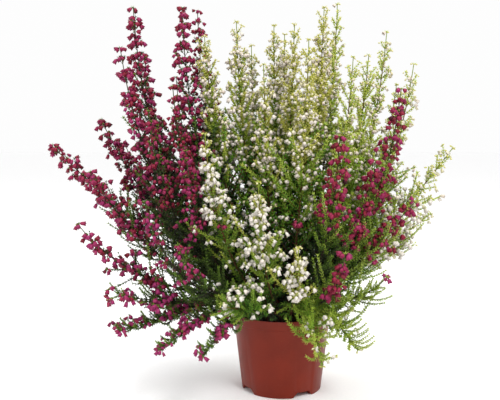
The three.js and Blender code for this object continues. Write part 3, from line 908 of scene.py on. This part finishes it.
def urn_form(levels, radii, sides, end, along, lobe_out=1.0, lobe_length=0.0):
    """A turned shape 1 long and 1 wide: distance from the stalk and radius of its rings, with
    lobes on every second corner of the last one. end is the point that closes the last ring, and
    along says for the first point, each ring and the last point how far down its colour is."""
    levels, radii = (np.repeat(np.array(found)[:, None], sides, axis=1)
                     for found in (levels, radii))
    levels[-1, ::2] += lobe_length
    radii[-1, ::2] *= lobe_out
    return SimpleNamespace(levels=levels, radii=radii, sides=sides, end=end, along=along)


# An open bell with four lobes, whose closing point sits inside and makes the mouth hollow, and a
# bud, a closed egg
BELL = urn_form((0.32, 0.95), (0.43, 0.27), 8, 0.6, [[0, 0.34, 1, 0.1]], 2.25, 0.08)
BUD = urn_form((0.28, 0.7), (0.4, 0.34), 4, 1.0, [[0, 0.3, 0.8, 1]])
OPEN_AGE = 0.42  # a flower is a bud when younger, and opens at this age
# Size of the youngest bud, the age up to which it keeps it, and how fast it grows then
BUD_SIZE = 0.5
BUD_AGE = 0.2
BUD_GROWTH = 1.9
SIZE_SPREAD = (0.82, 1.12)
SLIM_SPREAD = (0.84, 1.16)
STALK_WIDTH = 0.6
STALK_LEAST = 0.5  # share of its length that the stalk of the smallest bud has
STALK_SPREAD = (0.75, 1.35)
STALK_IN_BELL = 0.4
# Way of a stalk and way of its bell: parts along the twig, out from it and down
STALK_WAY = (0.55, 0.85, 0.1)
BELL_WAY = (0.1, 0.8, 0.75)
# Bells nod more with age, from the least share on
NOD_GROWTH = 2
NOD_LEAST = 0.1
SIDE_HINT = 0.01  # keeps a side to turn to where a bell hangs straight down
# How much bells stray in turn, in the way they hang and in tint
BELL_TURN = 0.25
BELL_SWING = 0.28
BELL_TINTING = 0.11


def urns(form, place, heading, aside, length, width, tint, age):
    """Closed turned shapes about each heading: the corner at angle a, radius r and distance z from
    the stalk is at place + (r cos a across + r sin a beside) width + z heading length."""
    across, beside = cross_frame(heading, aside)
    angle = ring_angles(form.sides)
    x, y = form.radii * np.cos(angle), form.radii * np.sin(angle)
    wide, long = width[:, None, None, None], length[:, None, None, None]
    rings = (place[:, None, None] + x[..., None] * across[:, None, None] * wide
             + y[..., None] * beside[:, None, None] * wide
             + form.levels[..., None] * heading[:, None, None] * long)
    end = place + heading * (form.end * length)[:, None]
    return ring_bodies(rings, place, end, 0, form.along, tint[:, None], age[:, None])


def clusters(place, ahead, across, beside, turn_by, counts, age, tint, look, rng):
    """Bells that nod in a cluster round each place: a stalk that goes out and along the twig, and
    a bell that hangs from it, out and down. Gives the batches of stalks, open bells and buds."""
    owner, rank = spread_counts(counts)
    total = len(owner)
    turn = turn_by[owner] + 2 * math.pi * rank / np.maximum(counts[owner], 1)
    turn = turn + rng.normal(0, BELL_TURN, total)
    start, ahead, out = place[owner], ahead[owner], turned(across[owner], beside[owner], turn)
    age = np.clip(age[owner] + rng.normal(0, look.age_spread, total), 0, 1)
    size = BUD_SIZE + (1 - BUD_SIZE) * np.clip((age - BUD_AGE) * BUD_GROWTH, 0, 1)
    size = size * rng.uniform(*SIZE_SPREAD, total)
    reach = look.stalk * (STALK_LEAST + (1 - STALK_LEAST) * size)
    reach = (reach * rng.uniform(*STALK_SPREAD, total))[:, None]
    along, away, down = STALK_WAY
    end = start + unit(along * ahead + away * out - down * UP) * reach
    swing = rng.normal(0, BELL_SWING, (total, 3))
    along, away, down = BELL_WAY
    nod = down * np.clip(NOD_GROWTH * age, NOD_LEAST, 1)[:, None]
    hang = unit(away * out - nod * UP + along * ahead + swing)
    tint = np.clip(tint[owner] + rng.normal(0, BELL_TINTING, total), 0, 1)
    stalks = spikes(start, end + STALK_IN_BELL * hang, unit(end + STALK_IN_BELL * hang - start),
                    np.cross(end - start, UP) + SIDE_HINT * out, STALK_WIDTH, 1, tint[:, None])
    slim = rng.uniform(*SLIM_SPREAD, total)
    parts = (end, hang, np.cross(hang, UP) + SIDE_HINT * out, look.bell * size * slim,
             look.bell_width * size / slim, tint, age)
    return [stalks, *(urns(form, *(part[chosen] for part in parts))
                      for form, chosen in ((BELL, age >= OPEN_AGE), (BUD, age < OPEN_AGE)))]


# Hue of a spray's bells, from old to fresh. Magenta bells are fresher at the left, most of all low
# down there, and the ones at the right are all alike
USUAL_HUE = 0.45
HUE_SPREAD = 0.1
# Whitest hue: the front bells' own colour, and on ripe sprays partly painted light
RIPE_AND_PAINTED_LIGHT_HUE = 0.8
LEAST_HUE = 0.42
RIGHT_HUE = 0.13
RIGHT_DUSK = 0.07
LEFT_HUE = 0.07
LEFT_OVER = 200
LOW_LEFT_HUE = 0.2
LOW_LEFT_FROM = 200
LOW_LEFT_OVER = 90
CLUSTER_HUE_SPREAD = 0.09
FULL_TURN = 6.28
# Sizes of bells against full-grown magenta ones
SMALL_BELLS = 0.88  # on white and on trailing sprays, which have only begun to flower
SHADED_SIZE = 0.82
RIPE_SIZE = 1.25
# Age of the bells on a spire: at its tip, how much they gain from there, and over what distance.
# The gain is for front sprays, ripe ones, ones in the left half, at the right and furthest right
MAGENTA_AGE = 0.6
MAGENTA_GAIN = 0.4
MAGENTA_FROM = 4
MAGENTA_OVER = 18
WHITE_AGE = 0.14
FRONT_OLDER = 0.15
WHITE_FROM = 5.0
WHITE_OVER = 50
FRONT_GAIN, RIPE_GAIN, LEFT_GAIN, RIGHT_GAIN, FRESH_GAIN = 0.85, 0.8, 0.5, 0.32, 0.22
LEFT_UP_TO = 10
FRESH_FROM = 58.0  # sprays with tips right of this have fresher green needles, and mostly buds
# Bells to a cluster, the upper number left out, and where along its shoot a side cluster grows
END_BELLS = (2, 5)
SIDE_BELLS, SIDE_AT = (1, 3), (0.55, 0.8)
LEAFY_BUDS, LEAFY_BUDS_AT = (1, 4), (0.5, 0.8)
SPIRE_BUDS, SPIRE_BUDS_AT = (2, 4), (0.35, 0.8)
LOW_KEPT = 0.38
# Leafy shoots flower down to this crown depth, and bud down to the second one where they face
# the front
FLOWERS_WITHIN = 0.45
BUDS_WITHIN = 0.85
FACING = 25.0
FLOWERING_FROM = 72.0
FRONT_FLOWERING_FROM = 45
SHADED_FLOWERS = 0.5
FRONT_FLOWERS = 0.8
LEAFY_AGE = (0.5, 0.95)
# Share of the longer flowering shoots of white sprays that bear more buds along them
BUDDING = 0.25
BUDDING_LENGTH = 9.0
BUDDING_AGE = (0.4, 0.68)
TRAILING_TIP_BELLS = 2
TIP_BELLS = 4
TIP_BELLS_INSET = 0.6
TIP_AGE = 0.7
WHITE_TIP_AGE = 0.25


def bell_hue(stem, rng):
    """Hue of a spray's bells, drawn unless all are ripe."""
    # Front bells are whitest by their own colour; on ripe sprays this hue is partly painted light
    ripe = stem.front or stem.habit.ripe
    hue = RIPE_AND_PAINTED_LIGHT_HUE if ripe else rng.normal(USUAL_HUE, HUE_SPREAD)
    if stem.white:
        return hue
    left_side = np.clip(-stem.tip[0] / LEFT_OVER, 0, 1)
    low_down = (left_side > 0) * np.clip((LOW_LEFT_FROM - stem.tip[2]) / LOW_LEFT_OVER, 0, 1)
    hue = max(hue, LEAST_HUE + RIGHT_HUE * stem.right)
    return hue + (LEFT_HUE * left_side + LOW_LEFT_HUE * low_down) - RIGHT_DUSK * stem.right


def spire_age(stem, left):
    """Age of bells at distances from the tip: age + gain clip((left - from) / over, 0, 1)."""
    if not stem.white:
        return MAGENTA_AGE + MAGENTA_GAIN * np.clip((left - MAGENTA_FROM) / MAGENTA_OVER, 0, 1)
    gain, start = LEFT_GAIN if stem.tip[0] < LEFT_UP_TO else RIGHT_GAIN, WHITE_FROM
    gain = FRONT_GAIN if stem.front else gain
    gain = FRESH_GAIN if stem.tip[0] > FRESH_FROM else gain
    if stem.habit.ripe:
        gain, start = RIPE_GAIN, stem.habit.ripe
    return WHITE_AGE + gain * np.clip((left - start) / WHITE_OVER, 0, 1) + FRONT_OLDER * stem.front


def grow_flowers(stem, spire, leafy, sizes, rng):
    """The bells and buds at the ends and sides of the shoots and at the tip."""
    kind, habit, left = stem.kind, stem.habit, spire.left
    hue = bell_hue(stem, rng)
    small = SMALL_BELLS if stem.white or stem.trailing else 1
    small *= (SHADED_SIZE if habit.shaded else 1) * (RIPE_SIZE if habit.ripe else 1)
    look = SimpleNamespace(bell=small * sizes.bell / MM, bell_width=small * sizes.bell_width / MM,
                           stalk=kind.stalk, age_spread=kind.age_spread)
    batches = []

    def flower(frame_at, counts, age):
        """Grows a cluster at each place and frame."""
        tint = hue + rng.normal(0, CLUSTER_HUE_SPREAD, len(age))
        turn_by = rng.uniform(0, FULL_TURN, len(age))
        batches.extend(clusters(*frame_at, turn_by, counts, age, tint, look, rng))

    share = (LOW_KEPT if stem.low else kind.kept) if habit.kept is None else habit.kept
    kept = (rng.random(len(left)) < share) & (left < habit.reach)
    age = spire_age(stem, left)
    ends = np.flatnonzero(kept)
    flower(shoot_at(spire, ends, np.full(len(ends), TWIG_REACH)),
           rng.integers(*END_BELLS, len(ends)), age[ends])
    long = np.flatnonzero(kept & (spire.length > kind.side_bells))
    flower(shoot_at(spire, long, rng.uniform(*SIDE_AT, len(long))),
           rng.integers(*SIDE_BELLS, len(long)), age[long])
    budding_plant = stem.white and not stem.front
    facing = leafy.handles[2][:, 1] < FACING
    outer = leafy.depth < np.where(facing & budding_plant, BUDS_WITHIN, FLOWERS_WITHIN)
    outer &= leafy.along > (FRONT_FLOWERING_FROM if stem.front else FLOWERING_FROM)
    share = FRONT_FLOWERS if stem.front else kind.leafy_flowers
    share = SHADED_FLOWERS if habit.shaded else share * (not stem.trailing)
    chosen = np.flatnonzero(outer & (rng.random(len(leafy.length)) < share))
    flower(shoot_at(leafy, chosen, np.full(len(chosen), TWIG_REACH)),
           rng.integers(*END_BELLS, len(chosen)),
           rng.uniform(*(BUDDING_AGE if budding_plant else LEAFY_AGE), len(chosen)))
    if budding_plant:
        flower(shoot_at(leafy, chosen, rng.uniform(*LEAFY_BUDS_AT, len(chosen))),
               rng.integers(*LEAFY_BUDS, len(chosen)), rng.uniform(*BUDDING_AGE, len(chosen)))
        budding = (spire.length > BUDDING_LENGTH) & (rng.random(len(left)) < BUDDING)
        budding = np.flatnonzero(budding)
        flower(shoot_at(spire, budding, rng.uniform(*SPIRE_BUDS_AT, len(budding))),
               rng.integers(*SPIRE_BUDS, len(budding)), rng.uniform(*BUDDING_AGE, len(budding)))
    flower(stem_at(stem, np.array([stem.length - TIP_BELLS_INSET])),
           np.full(1, TRAILING_TIP_BELLS if stem.trailing else TIP_BELLS),
           np.full(1, WHITE_TIP_AGE if stem.white else TIP_AGE))
    return batches


def dress(stem, index, sizes):
    """All bodies of one spray: those of its piece of foliage and those of its piece of bells."""
    shoot_rng, green_rng, flower_rng = (
        np.random.default_rng([SEED, index, *more]) for more in ((), (1,), (2,)))
    spire = spire_shoots(stem, shoot_rng)
    leafy = leafy_shoots(stem, shoot_rng)
    return (grow_green(stem, spire, leafy, sizes, green_rng),
            grow_flowers(stem, spire, leafy, sizes, flower_rng))


# Materials


def add(tree, kind, inputs=None, stops=None, **settings):
    """Adds a node to a material. inputs sets or links its sockets by name or place, settings its
    own properties, and stops the places and linear colours of a ramp."""
    node = tree.nodes.new(kind)
    for name, value in settings.items():
        setattr(node, name, value)
    for key, value in (inputs or {}).items():
        if isinstance(value, bpy.types.NodeSocket):
            tree.links.new(value, node.inputs[key])
        else:
            node.inputs[key].default_value = value
    if stops:
        elements = node.color_ramp.elements
        for _ in range(len(stops) - len(elements)):
            elements.new(0.5)
        for element, (place, colour) in zip(elements, stops.items()):
            element.position = place
            element.color = (*colour, 1)
    return node


FACTOR, FIRST_COLOUR, SECOND_COLOUR, MIXED = 0, 6, 7, 2  # sockets of a Mix node set to colours
BLACK, WHOLE = (0, 0, 0), (1, 1, 1)
IOR = 1.45  # of leaves, petals, peat and board
PLASTIC_IOR = 1.49


def empty_material(name):
    """A material without nodes, and its tree."""
    material = bpy.data.materials.new(name)
    material.use_nodes = True
    material.node_tree.nodes.clear()
    return material, material.node_tree


def per_mm(millimetres):
    """Noise scale that gives features of that size on coordinates in metres."""
    return 1 / (millimetres * MM)


# Finishes of growing tissue: grain in mm and depth of its bump, and weight of a waxy skin.
# Bark is fissured and dull, which gives the twigs a broken, rough edge of light
BARK = dict(grain=0.9, depth=0.5, cuticle=0.0)
# Needles are leathery with a thin waxy skin, which gives them a soft gleam
NEEDLE = dict(grain=0.8, depth=0.3, cuticle=0.1)
# Stalks are fine-haired and matt, so they stay behind the bells
STALK = dict(grain=0.8, depth=0.3, cuticle=0.0)
MOTTLE = 5
MOTTLING = 0.25


def plant_material(name, roughness, grain, depth, cuticle, stops):
    """Growing tissue whose colour runs along its tint attribute through the given hex colours.
    Mottling of a few millimetres moves it along the run, and a fine grain makes its bump."""
    material, tree = empty_material(name)
    place = add(tree, "ShaderNodeTexCoord").outputs["Object"]
    tint = add(tree, "ShaderNodeAttribute", attribute_name="tint")
    mottle = add(tree, "ShaderNodeTexNoise",
                 {"Vector": place, "Scale": per_mm(MOTTLE), "Detail": 3.0})
    moved = add(tree, "ShaderNodeMath", {0: mottle.outputs["Fac"], 1: MOTTLING, 2: -MOTTLING / 2},
                operation="MULTIPLY_ADD")
    total = add(tree, "ShaderNodeMath", {0: tint.outputs["Fac"], 1: moved.outputs[0]},
                operation="ADD")
    ramp = add(tree, "ShaderNodeValToRGB", {"Fac": total.outputs[0]},
               {at: linear(hex_colour) for at, hex_colour in stops.items()})
    fine = add(tree, "ShaderNodeTexNoise", {"Vector": place, "Scale": per_mm(grain), "Detail": 2.0})
    bump = add(tree, "ShaderNodeBump", {"Height": fine.outputs["Fac"], "Strength": depth,
                                        "Distance": 0.2 * MM})
    shader = add(tree, "ShaderNodeBsdfPrincipled", {
        "Base Color": ramp.outputs[0], "Normal": bump.outputs[0], "Roughness": roughness,
        "IOR": IOR, "Coat Weight": cuticle, "Specular IOR Level": 0.3})
    add(tree, "ShaderNodeOutputMaterial", {"Surface": shader.outputs[0]})
    return material


def petal_material(name, body, old, calyx, mouth, bud, sheen):
    """Thin waxy petals, which gives small soft highlights. Colours are linear. The tint attribute
    runs from old to fresh bells, along from the calyx to the lobes, and age from a bud to an open
    bell. Fine veins run as streaks of half a millimetre, drawn about twice as coarse as real ones
    so that they show."""
    material, tree = empty_material(name)
    place = add(tree, "ShaderNodeTexCoord").outputs["Object"]
    tint, along, age = (add(tree, "ShaderNodeAttribute", attribute_name=mark).outputs["Fac"]
                        for mark in ("tint", "along", "age"))
    streaks = add(tree, "ShaderNodeTexNoise",
                  {"Vector": place, "Scale": per_mm(1.0), "Detail": 2.0, "Distortion": 0.6})
    hue = add(tree, "ShaderNodeMath", {0: streaks.outputs["Fac"], 1: 0.5, 2: tint},
              operation="MULTIPLY_ADD")
    fresh = add(tree, "ShaderNodeValToRGB", {"Fac": hue.outputs[0]},
                {0.3: old, 0.62: body, 1.0: mouth})
    ends = add(tree, "ShaderNodeValToRGB", {"Fac": along}, {0.05: WHOLE, 0.24: BLACK})
    capped = add(tree, "ShaderNodeMix", {
        FACTOR: ends.outputs[0], FIRST_COLOUR: fresh.outputs[0], SECOND_COLOUR: (*calyx, 1)},
        data_type="RGBA")
    opened = add(tree, "ShaderNodeValToRGB", {"Fac": age}, {0.2: WHOLE, 0.62: BLACK})
    whole = add(tree, "ShaderNodeMix", {
        FACTOR: opened.outputs[0], FIRST_COLOUR: capped.outputs[MIXED], SECOND_COLOUR: (*bud, 1)},
        data_type="RGBA")
    bump = add(tree, "ShaderNodeBump", {"Height": streaks.outputs["Fac"], "Strength": 0.25,
                                        "Distance": 0.15 * MM})
    shader = add(tree, "ShaderNodeBsdfPrincipled", {
        "Base Color": whole.outputs[MIXED], "Normal": bump.outputs[0], "Roughness": 0.5,
        "IOR": IOR, "Specular IOR Level": sheen})
    add(tree, "ShaderNodeOutputMaterial", {"Surface": shader.outputs[0]})
    return material


def pot_material(colour):
    """Injection-moulded polypropylene: satin, evenly coloured, with faint flow mottling of two
    centimetres, dust-fine specks and shallow upright scuffs from handling. The specks are drawn
    at 0.9 mm, coarser than dust, so that they show."""
    material, tree = empty_material("brick_red_polypropylene")
    place = add(tree, "ShaderNodeTexCoord").outputs["Object"]
    flow = add(tree, "ShaderNodeTexNoise", {"Vector": place, "Scale": per_mm(22), "Detail": 4.0})
    worn = tuple(min(1, 1.12 * c) for c in colour)
    deep = tuple(0.9 * c for c in colour)
    body = add(tree, "ShaderNodeValToRGB", {"Fac": flow.outputs["Fac"]}, {0.3: deep, 0.7: worn})
    speck = add(tree, "ShaderNodeTexNoise", {"Vector": place, "Scale": per_mm(0.9), "Detail": 1.0})
    dusty = add(tree, "ShaderNodeValToRGB", {"Fac": speck.outputs["Fac"]},
                {0.66: BLACK, 0.78: (0.25, 0.25, 0.25)})
    dusted = add(tree, "ShaderNodeMix", {
        FACTOR: dusty.outputs[0], FIRST_COLOUR: body.outputs[0],
        SECOND_COLOUR: (*linear("#8E5444"), 1)}, data_type="RGBA")
    upright = add(tree, "ShaderNodeMapping", {"Vector": place, "Scale": (1, 1, 0.12)})
    scuff = add(tree, "ShaderNodeTexNoise",
                {"Vector": upright.outputs[0], "Scale": per_mm(2.5), "Detail": 3.0})
    rough = add(tree, "ShaderNodeMapRange", {"Value": scuff.outputs["Fac"], "To Min": 0.3,
                                             "To Max": 0.5})
    bump = add(tree, "ShaderNodeBump", {"Height": scuff.outputs["Fac"], "Strength": 0.12,
                                        "Distance": 0.1 * MM})
    shader = add(tree, "ShaderNodeBsdfPrincipled", {
        "Base Color": dusted.outputs[MIXED], "Normal": bump.outputs[0],
        "Roughness": rough.outputs[0], "IOR": PLASTIC_IOR, "Specular IOR Level": 0.2})
    add(tree, "ShaderNodeOutputMaterial", {"Surface": shader.outputs[0]})
    return material


def soil_material(colour):
    """Moist peat: dark crumbs of 2 mm with paler fibres, rough enough to show no highlight."""
    material, tree = empty_material("moist_peat")
    place = add(tree, "ShaderNodeTexCoord").outputs["Object"]
    crumbs = add(tree, "ShaderNodeTexNoise", {"Vector": place, "Scale": per_mm(2.4), "Detail": 5.0})
    body = add(tree, "ShaderNodeValToRGB", {"Fac": crumbs.outputs["Fac"]},
               {0.35: tuple(0.5 * c for c in colour), 0.55: colour, 0.75: linear("#4A3526")})
    bump = add(tree, "ShaderNodeBump", {"Height": crumbs.outputs["Fac"], "Strength": 0.8,
                                        "Distance": 0.6 * MM})
    shader = add(tree, "ShaderNodeBsdfPrincipled", {
        "Base Color": body.outputs[0], "Normal": bump.outputs[0], "Roughness": 0.92, "IOR": IOR})
    add(tree, "ShaderNodeOutputMaterial", {"Surface": shader.outputs[0]})
    return material


def board_material():
    """Matt white board: a plain pale floor that shows soft shadows and no highlight."""
    material, tree = empty_material("matt_white_board")
    place = add(tree, "ShaderNodeTexCoord").outputs["Object"]
    grain = add(tree, "ShaderNodeTexNoise", {"Vector": place, "Scale": per_mm(3), "Detail": 2.0})
    paper = add(tree, "ShaderNodeValToRGB", {"Fac": grain.outputs["Fac"]},
                {0.3: linear("#FCFCFC"), 0.7: linear("#FFFFFF")})
    shader = add(tree, "ShaderNodeBsdfPrincipled", {
        "Base Color": paper.outputs[0], "Roughness": 0.8, "IOR": IOR})
    add(tree, "ShaderNodeOutputMaterial", {"Surface": shader.outputs[0]})
    return material


# Pot, soil and stage


MERGE_WITHIN = 0.01
EDGE_ROUNDING = 0.35
EDGE_SEGMENTS = 2
SHARP_DEG = 35


def make_pot(colours):
    """The pot: a copy of its solid with its doubled corners merged, small rounded edges, and
    smooth shading across its turned faces."""
    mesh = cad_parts["pot"].data.copy()
    mesh.name = "pot_shell"
    mesh.materials.clear()
    mesh.materials.append(pot_material(colours.pot))
    piece = show(mesh, "pot")
    weld = piece.modifiers.new("Merge corners", "WELD")
    weld.merge_threshold = MERGE_WITHIN * MM
    rounding = piece.modifiers.new("Rounded edges", "BEVEL")
    rounding.width = EDGE_ROUNDING * MM
    rounding.segments = EDGE_SEGMENTS
    rounding.limit_method = "ANGLE"
    rounding.angle_limit = math.radians(SHARP_DEG)
    rounding.harden_normals = False
    bpy.context.view_layer.objects.active = piece
    with bpy.context.temp_override(object=piece, active_object=piece, selected_objects=[piece],
                                   selected_editable_objects=[piece]):
        bpy.ops.object.modifier_apply(modifier=weld.name)
    piece.data.shade_smooth()
    piece.data.set_sharp_from_angle(angle=math.radians(SHARP_DEG))


SOIL_RINGS = 30
SOIL_SPOKES = 120
SOIL_HUB = 0.03  # share of the radius where the innermost ring sits
SOIL_HUB_LIFT = 0.3
SOIL_WALL_DROP = 12.0
WAVES = 14
WAVE_LENGTHS = (3, 9)
WAVE_HEIGHT = 2
CRUMBS = 0.35
WALL_FADE = 12
LEAST_FADE = 0.25


def make_soil(sizes, colours):
    """Peat surface on a polar grid: height = mean of cosine waves of 3 to 9 mm times their height,
    plus seeded crumbs, faded out at the pot's wall. A skirt and a flat underside close it."""
    wall = FOOT_RADIUS - WALL + (RIM_RADIUS - FOOT_RADIUS) * SOIL_TOP / POT_HEIGHT
    reach = min(wall - SOIL_GAP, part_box("soil")[1][0] / MM)
    rng = np.random.default_rng(SEED)
    share = np.linspace(SOIL_HUB, 1, SOIL_RINGS)[:, None]
    angle = ring_angles(SOIL_SPOKES)[None]
    x, y = reach * share * np.cos(angle), reach * share * np.sin(angle)
    height = np.zeros_like(x)
    for _ in range(WAVES):
        wave = rng.uniform(*WAVE_LENGTHS)
        way, phase = rng.uniform(0, 2 * math.pi, 2)
        height += np.cos(2 * math.pi * (x * math.cos(way) + y * math.sin(way)) / wave + phase)
    height = height / WAVES * WAVE_HEIGHT + rng.normal(0, CRUMBS, x.shape)
    height = height * sizes.crumb / MM * np.clip((1 - share) * WALL_FADE, LEAST_FADE, 1)
    top = stacked(x, y, SOIL_TOP + height)[::-1]
    foot = stacked(x[-1], y[-1], SOIL_TOP - SOIL_WALL_DROP)[None]
    rings = np.concatenate([foot, top])[None]
    centre = np.array([[0, 0, SOIL_TOP - SOIL_WALL_DROP], [0, 0, SOIL_TOP + SOIL_HUB_LIFT]])
    body = ring_bodies(rings, centre[:1], centre[1:], 0,
                       np.linspace(0, 1, SOIL_RINGS + 3)[None], np.zeros((1, 1)))
    show(mesh_of_bodies("soil_surface", [body], [soil_material(colours.soil)]), "soil")


def make_sprays(colour, bark, needle, fresh, petal, stalk, sizes):
    """Piece of foliage and piece of bells of every spray of one colour."""
    for index, stem in enumerate(grow_stems()):
        if not stem.name.startswith(colour):
            continue
        green, flowers = dress(stem, index, sizes)
        leaf = fresh if stem.tip[0] > FRESH_FROM or stem.trailing else needle
        show(mesh_of_bodies(f"{stem.name}_foliage", green, [bark, leaf]), stem.name)
        show(mesh_of_bodies(f"{stem.name}_bells", flowers, [petal, stalk]), stem.name)


FLOOR_HALF = 12.0
WORLD_STRENGTH = 0.985
# Square studio lights: place and side in metres, and watts
LIGHTS = {
    "Key": ((0.8, -1.4, 1.6), 0.6, 26),
    "Fill": ((-1.4, -1.2, 0.7), 1.2, 4),
    "Top": ((-0.2, 0.5, 1.7), 0.8, 12),
}
AIM = (0, 0, 0.2)
CAMERA_PLACE = (-0.0336, -0.750, 0.265)
CAMERA_PITCH_DEG = 85.0
FOCAL_LENGTH = 51.6
SENSOR_WIDTH = 36.0
NEAREST = 0.02


def soft_light(name, place, side, watts):
    """A square studio light that faces the plant."""
    light = bpy.data.lights.new(name, "AREA")
    light.shape = "SQUARE"
    light.size = side
    light.energy = watts
    lamp = bpy.data.objects.new(name, light)
    bpy.context.scene.collection.objects.link(lamp)
    ahead = unit(np.array(AIM, float) - np.array(place, float))
    lamp.location = place
    lamp.rotation_euler = (math.acos(-ahead[2]), 0, math.atan2(ahead[1], ahead[0]) - math.pi / 2)


def make_stage():
    """Pale matt floor, pale surroundings, three soft lights and the photograph's camera."""
    mesh = bpy.data.meshes.new("studio_floor")
    half = FLOOR_HALF
    mesh.from_pydata([(-half, -half, 0), (half, -half, 0), (half, half, 0), (-half, half, 0)], [],
                     [(0, 1, 2, 3)])
    mesh.materials.append(board_material())
    floor = bpy.data.objects.new("studio_floor", mesh)
    bpy.context.scene.collection.objects.link(floor)
    world = bpy.data.worlds.new("Pale studio")
    world.use_nodes = True
    background = world.node_tree.nodes["Background"]
    background.inputs["Color"].default_value = (1, 1, 1, 1)
    background.inputs["Strength"].default_value = WORLD_STRENGTH
    bpy.context.scene.world = world
    for name, (place, side, watts) in LIGHTS.items():
        soft_light(name, place, side, watts)
    data = bpy.data.cameras.new("Camera")
    data.lens = FOCAL_LENGTH
    data.sensor_width = SENSOR_WIDTH
    data.clip_start = NEAREST
    camera = bpy.data.objects.new("Camera", data)
    bpy.context.scene.collection.objects.link(camera)
    camera.location = CAMERA_PLACE
    camera.rotation_euler = (math.radians(CAMERA_PITCH_DEG), 0, 0)
    bpy.context.scene.camera = camera
    bpy.context.scene.view_settings.view_transform = "Standard"


# Operators and panel


class HEATH_OT_pot(bpy.types.Operator):
    """Builds the brick-red plastic pot"""

    bl_idname = "heath.pot"
    bl_label = "Pot"

    def execute(self, context):
        make_pot(context.scene.heath_colours)
        return {"FINISHED"}


class HEATH_OT_soil(bpy.types.Operator):
    """Builds the crumbly peat surface inside the pot"""

    bl_idname = "heath.soil"
    bl_label = "Soil"

    def execute(self, context):
        make_soil(context.scene.heath_sizes, context.scene.heath_colours)
        return {"FINISHED"}


class HEATH_OT_magenta_sprays(bpy.types.Operator):
    """Builds the stems, needles and bells of the magenta plants"""

    bl_idname = "heath.magenta_sprays"
    bl_label = "Magenta sprays"

    def execute(self, context):
        colours = context.scene.heath_colours
        bark = plant_material("heath_bark_dark", 0.8, **BARK, stops={
            0.0: "#1C1410", 0.3: "#30231A", 0.7: "#454A24"})
        needle = plant_material("heath_needle_dark", 0.5, **NEEDLE, stops={
            0.0: "#0E1407", 0.1: "#18240C", 0.32: "#304418", 0.6: "#5C7C22", 0.85: "#809A2C",
            1.0: "#9CB046"})
        stalk = plant_material("magenta_stalk", 0.6, **STALK, stops={
            0.0: "#431420", 0.6: "#64202E"})
        petal = petal_material(
            "magenta_petal", tuple(colours.magenta), tuple(colours.magenta_dark),
            linear("#2E0E12"), linear("#96285F"), linear("#58142E"), 0.36)
        make_sprays("magenta", bark, needle, needle, petal, stalk, context.scene.heath_sizes)
        return {"FINISHED"}


class HEATH_OT_white_sprays(bpy.types.Operator):
    """Builds the stems, needles and bells of the white plants"""

    bl_idname = "heath.white_sprays"
    bl_label = "White sprays"

    def execute(self, context):
        colours = context.scene.heath_colours
        bark = plant_material("heath_bark_light", 0.75, **BARK, stops={
            0.0: "#2A1D14", 0.4: "#663820", 0.75: "#75842A"})
        needle = plant_material("heath_needle_light", 0.5, **NEEDLE, stops={
            0.0: "#0E1C06", 0.1: "#1C3A0A", 0.28: "#437213", 0.5: "#6F982C", 0.8: "#9CAA3E",
            1.0: "#BAB854"})
        fresh = plant_material("heath_needle_fresh", 0.5, **NEEDLE, stops={
            0.0: "#10200A", 0.1: "#20400C", 0.28: "#487A18", 0.5: "#76A02C", 0.8: "#9CB63A",
            1.0: "#B4C250"})
        stalk = plant_material("white_stalk", 0.6, **STALK, stops={
            0.0: "#9FB04C", 0.6: "#C4CE86"})
        petal = petal_material(
            "white_petal", tuple(colours.white), linear("#D2C2B5"), linear("#88982A"),
            linear("#DBD4CA"), tuple(colours.bud), 0.25)
        make_sprays("white", bark, needle, fresh, petal, stalk, context.scene.heath_sizes)
        return {"FINISHED"}


class HEATH_OT_stage(bpy.types.Operator):
    """Sets up the pale floor, the soft lights and the camera"""

    bl_idname = "heath.stage"
    bl_label = "Stage"

    def execute(self, context):
        make_stage()
        return {"FINISHED"}


class HEATH_PT_panel(bpy.types.Panel):
    """Lists the steps that build the potted heath"""

    bl_idname = "HEATH_PT_panel"
    bl_label = "Potted heath"
    bl_space_type = "VIEW_3D"
    bl_region_type = "UI"
    bl_category = "Heath"

    def draw(self, context):
        for operator in OPERATORS:
            self.layout.operator(operator.bl_idname)
        for group in (context.scene.heath_sizes, context.scene.heath_colours):
            for name in group.__annotations__:
                self.layout.prop(group, name)


OPERATORS = (HEATH_OT_pot, HEATH_OT_soil, HEATH_OT_magenta_sprays, HEATH_OT_white_sprays,
             HEATH_OT_stage)
CLASSES = (HEATH_PG_sizes, HEATH_PG_colours, *OPERATORS, HEATH_PT_panel)


def register():
    """Adds the classes and the scene's settings."""
    for each in CLASSES:
        bpy.utils.register_class(each)
    bpy.types.Scene.heath_sizes = bpy.props.PointerProperty(type=HEATH_PG_sizes)
    bpy.types.Scene.heath_colours = bpy.props.PointerProperty(type=HEATH_PG_colours)


def unregister():
    """Takes the classes and the scene's settings away again."""
    del bpy.types.Scene.heath_colours
    del bpy.types.Scene.heath_sizes
    for each in reversed(CLASSES):
        bpy.utils.unregister_class(each)


def main():
    """Builds every piece in order."""
    register()
    bpy.ops.heath.pot()
    bpy.ops.heath.soil()
    bpy.ops.heath.magenta_sprays()
    bpy.ops.heath.white_sprays()
    bpy.ops.heath.stage()


if __name__ == "__main__":
    main()
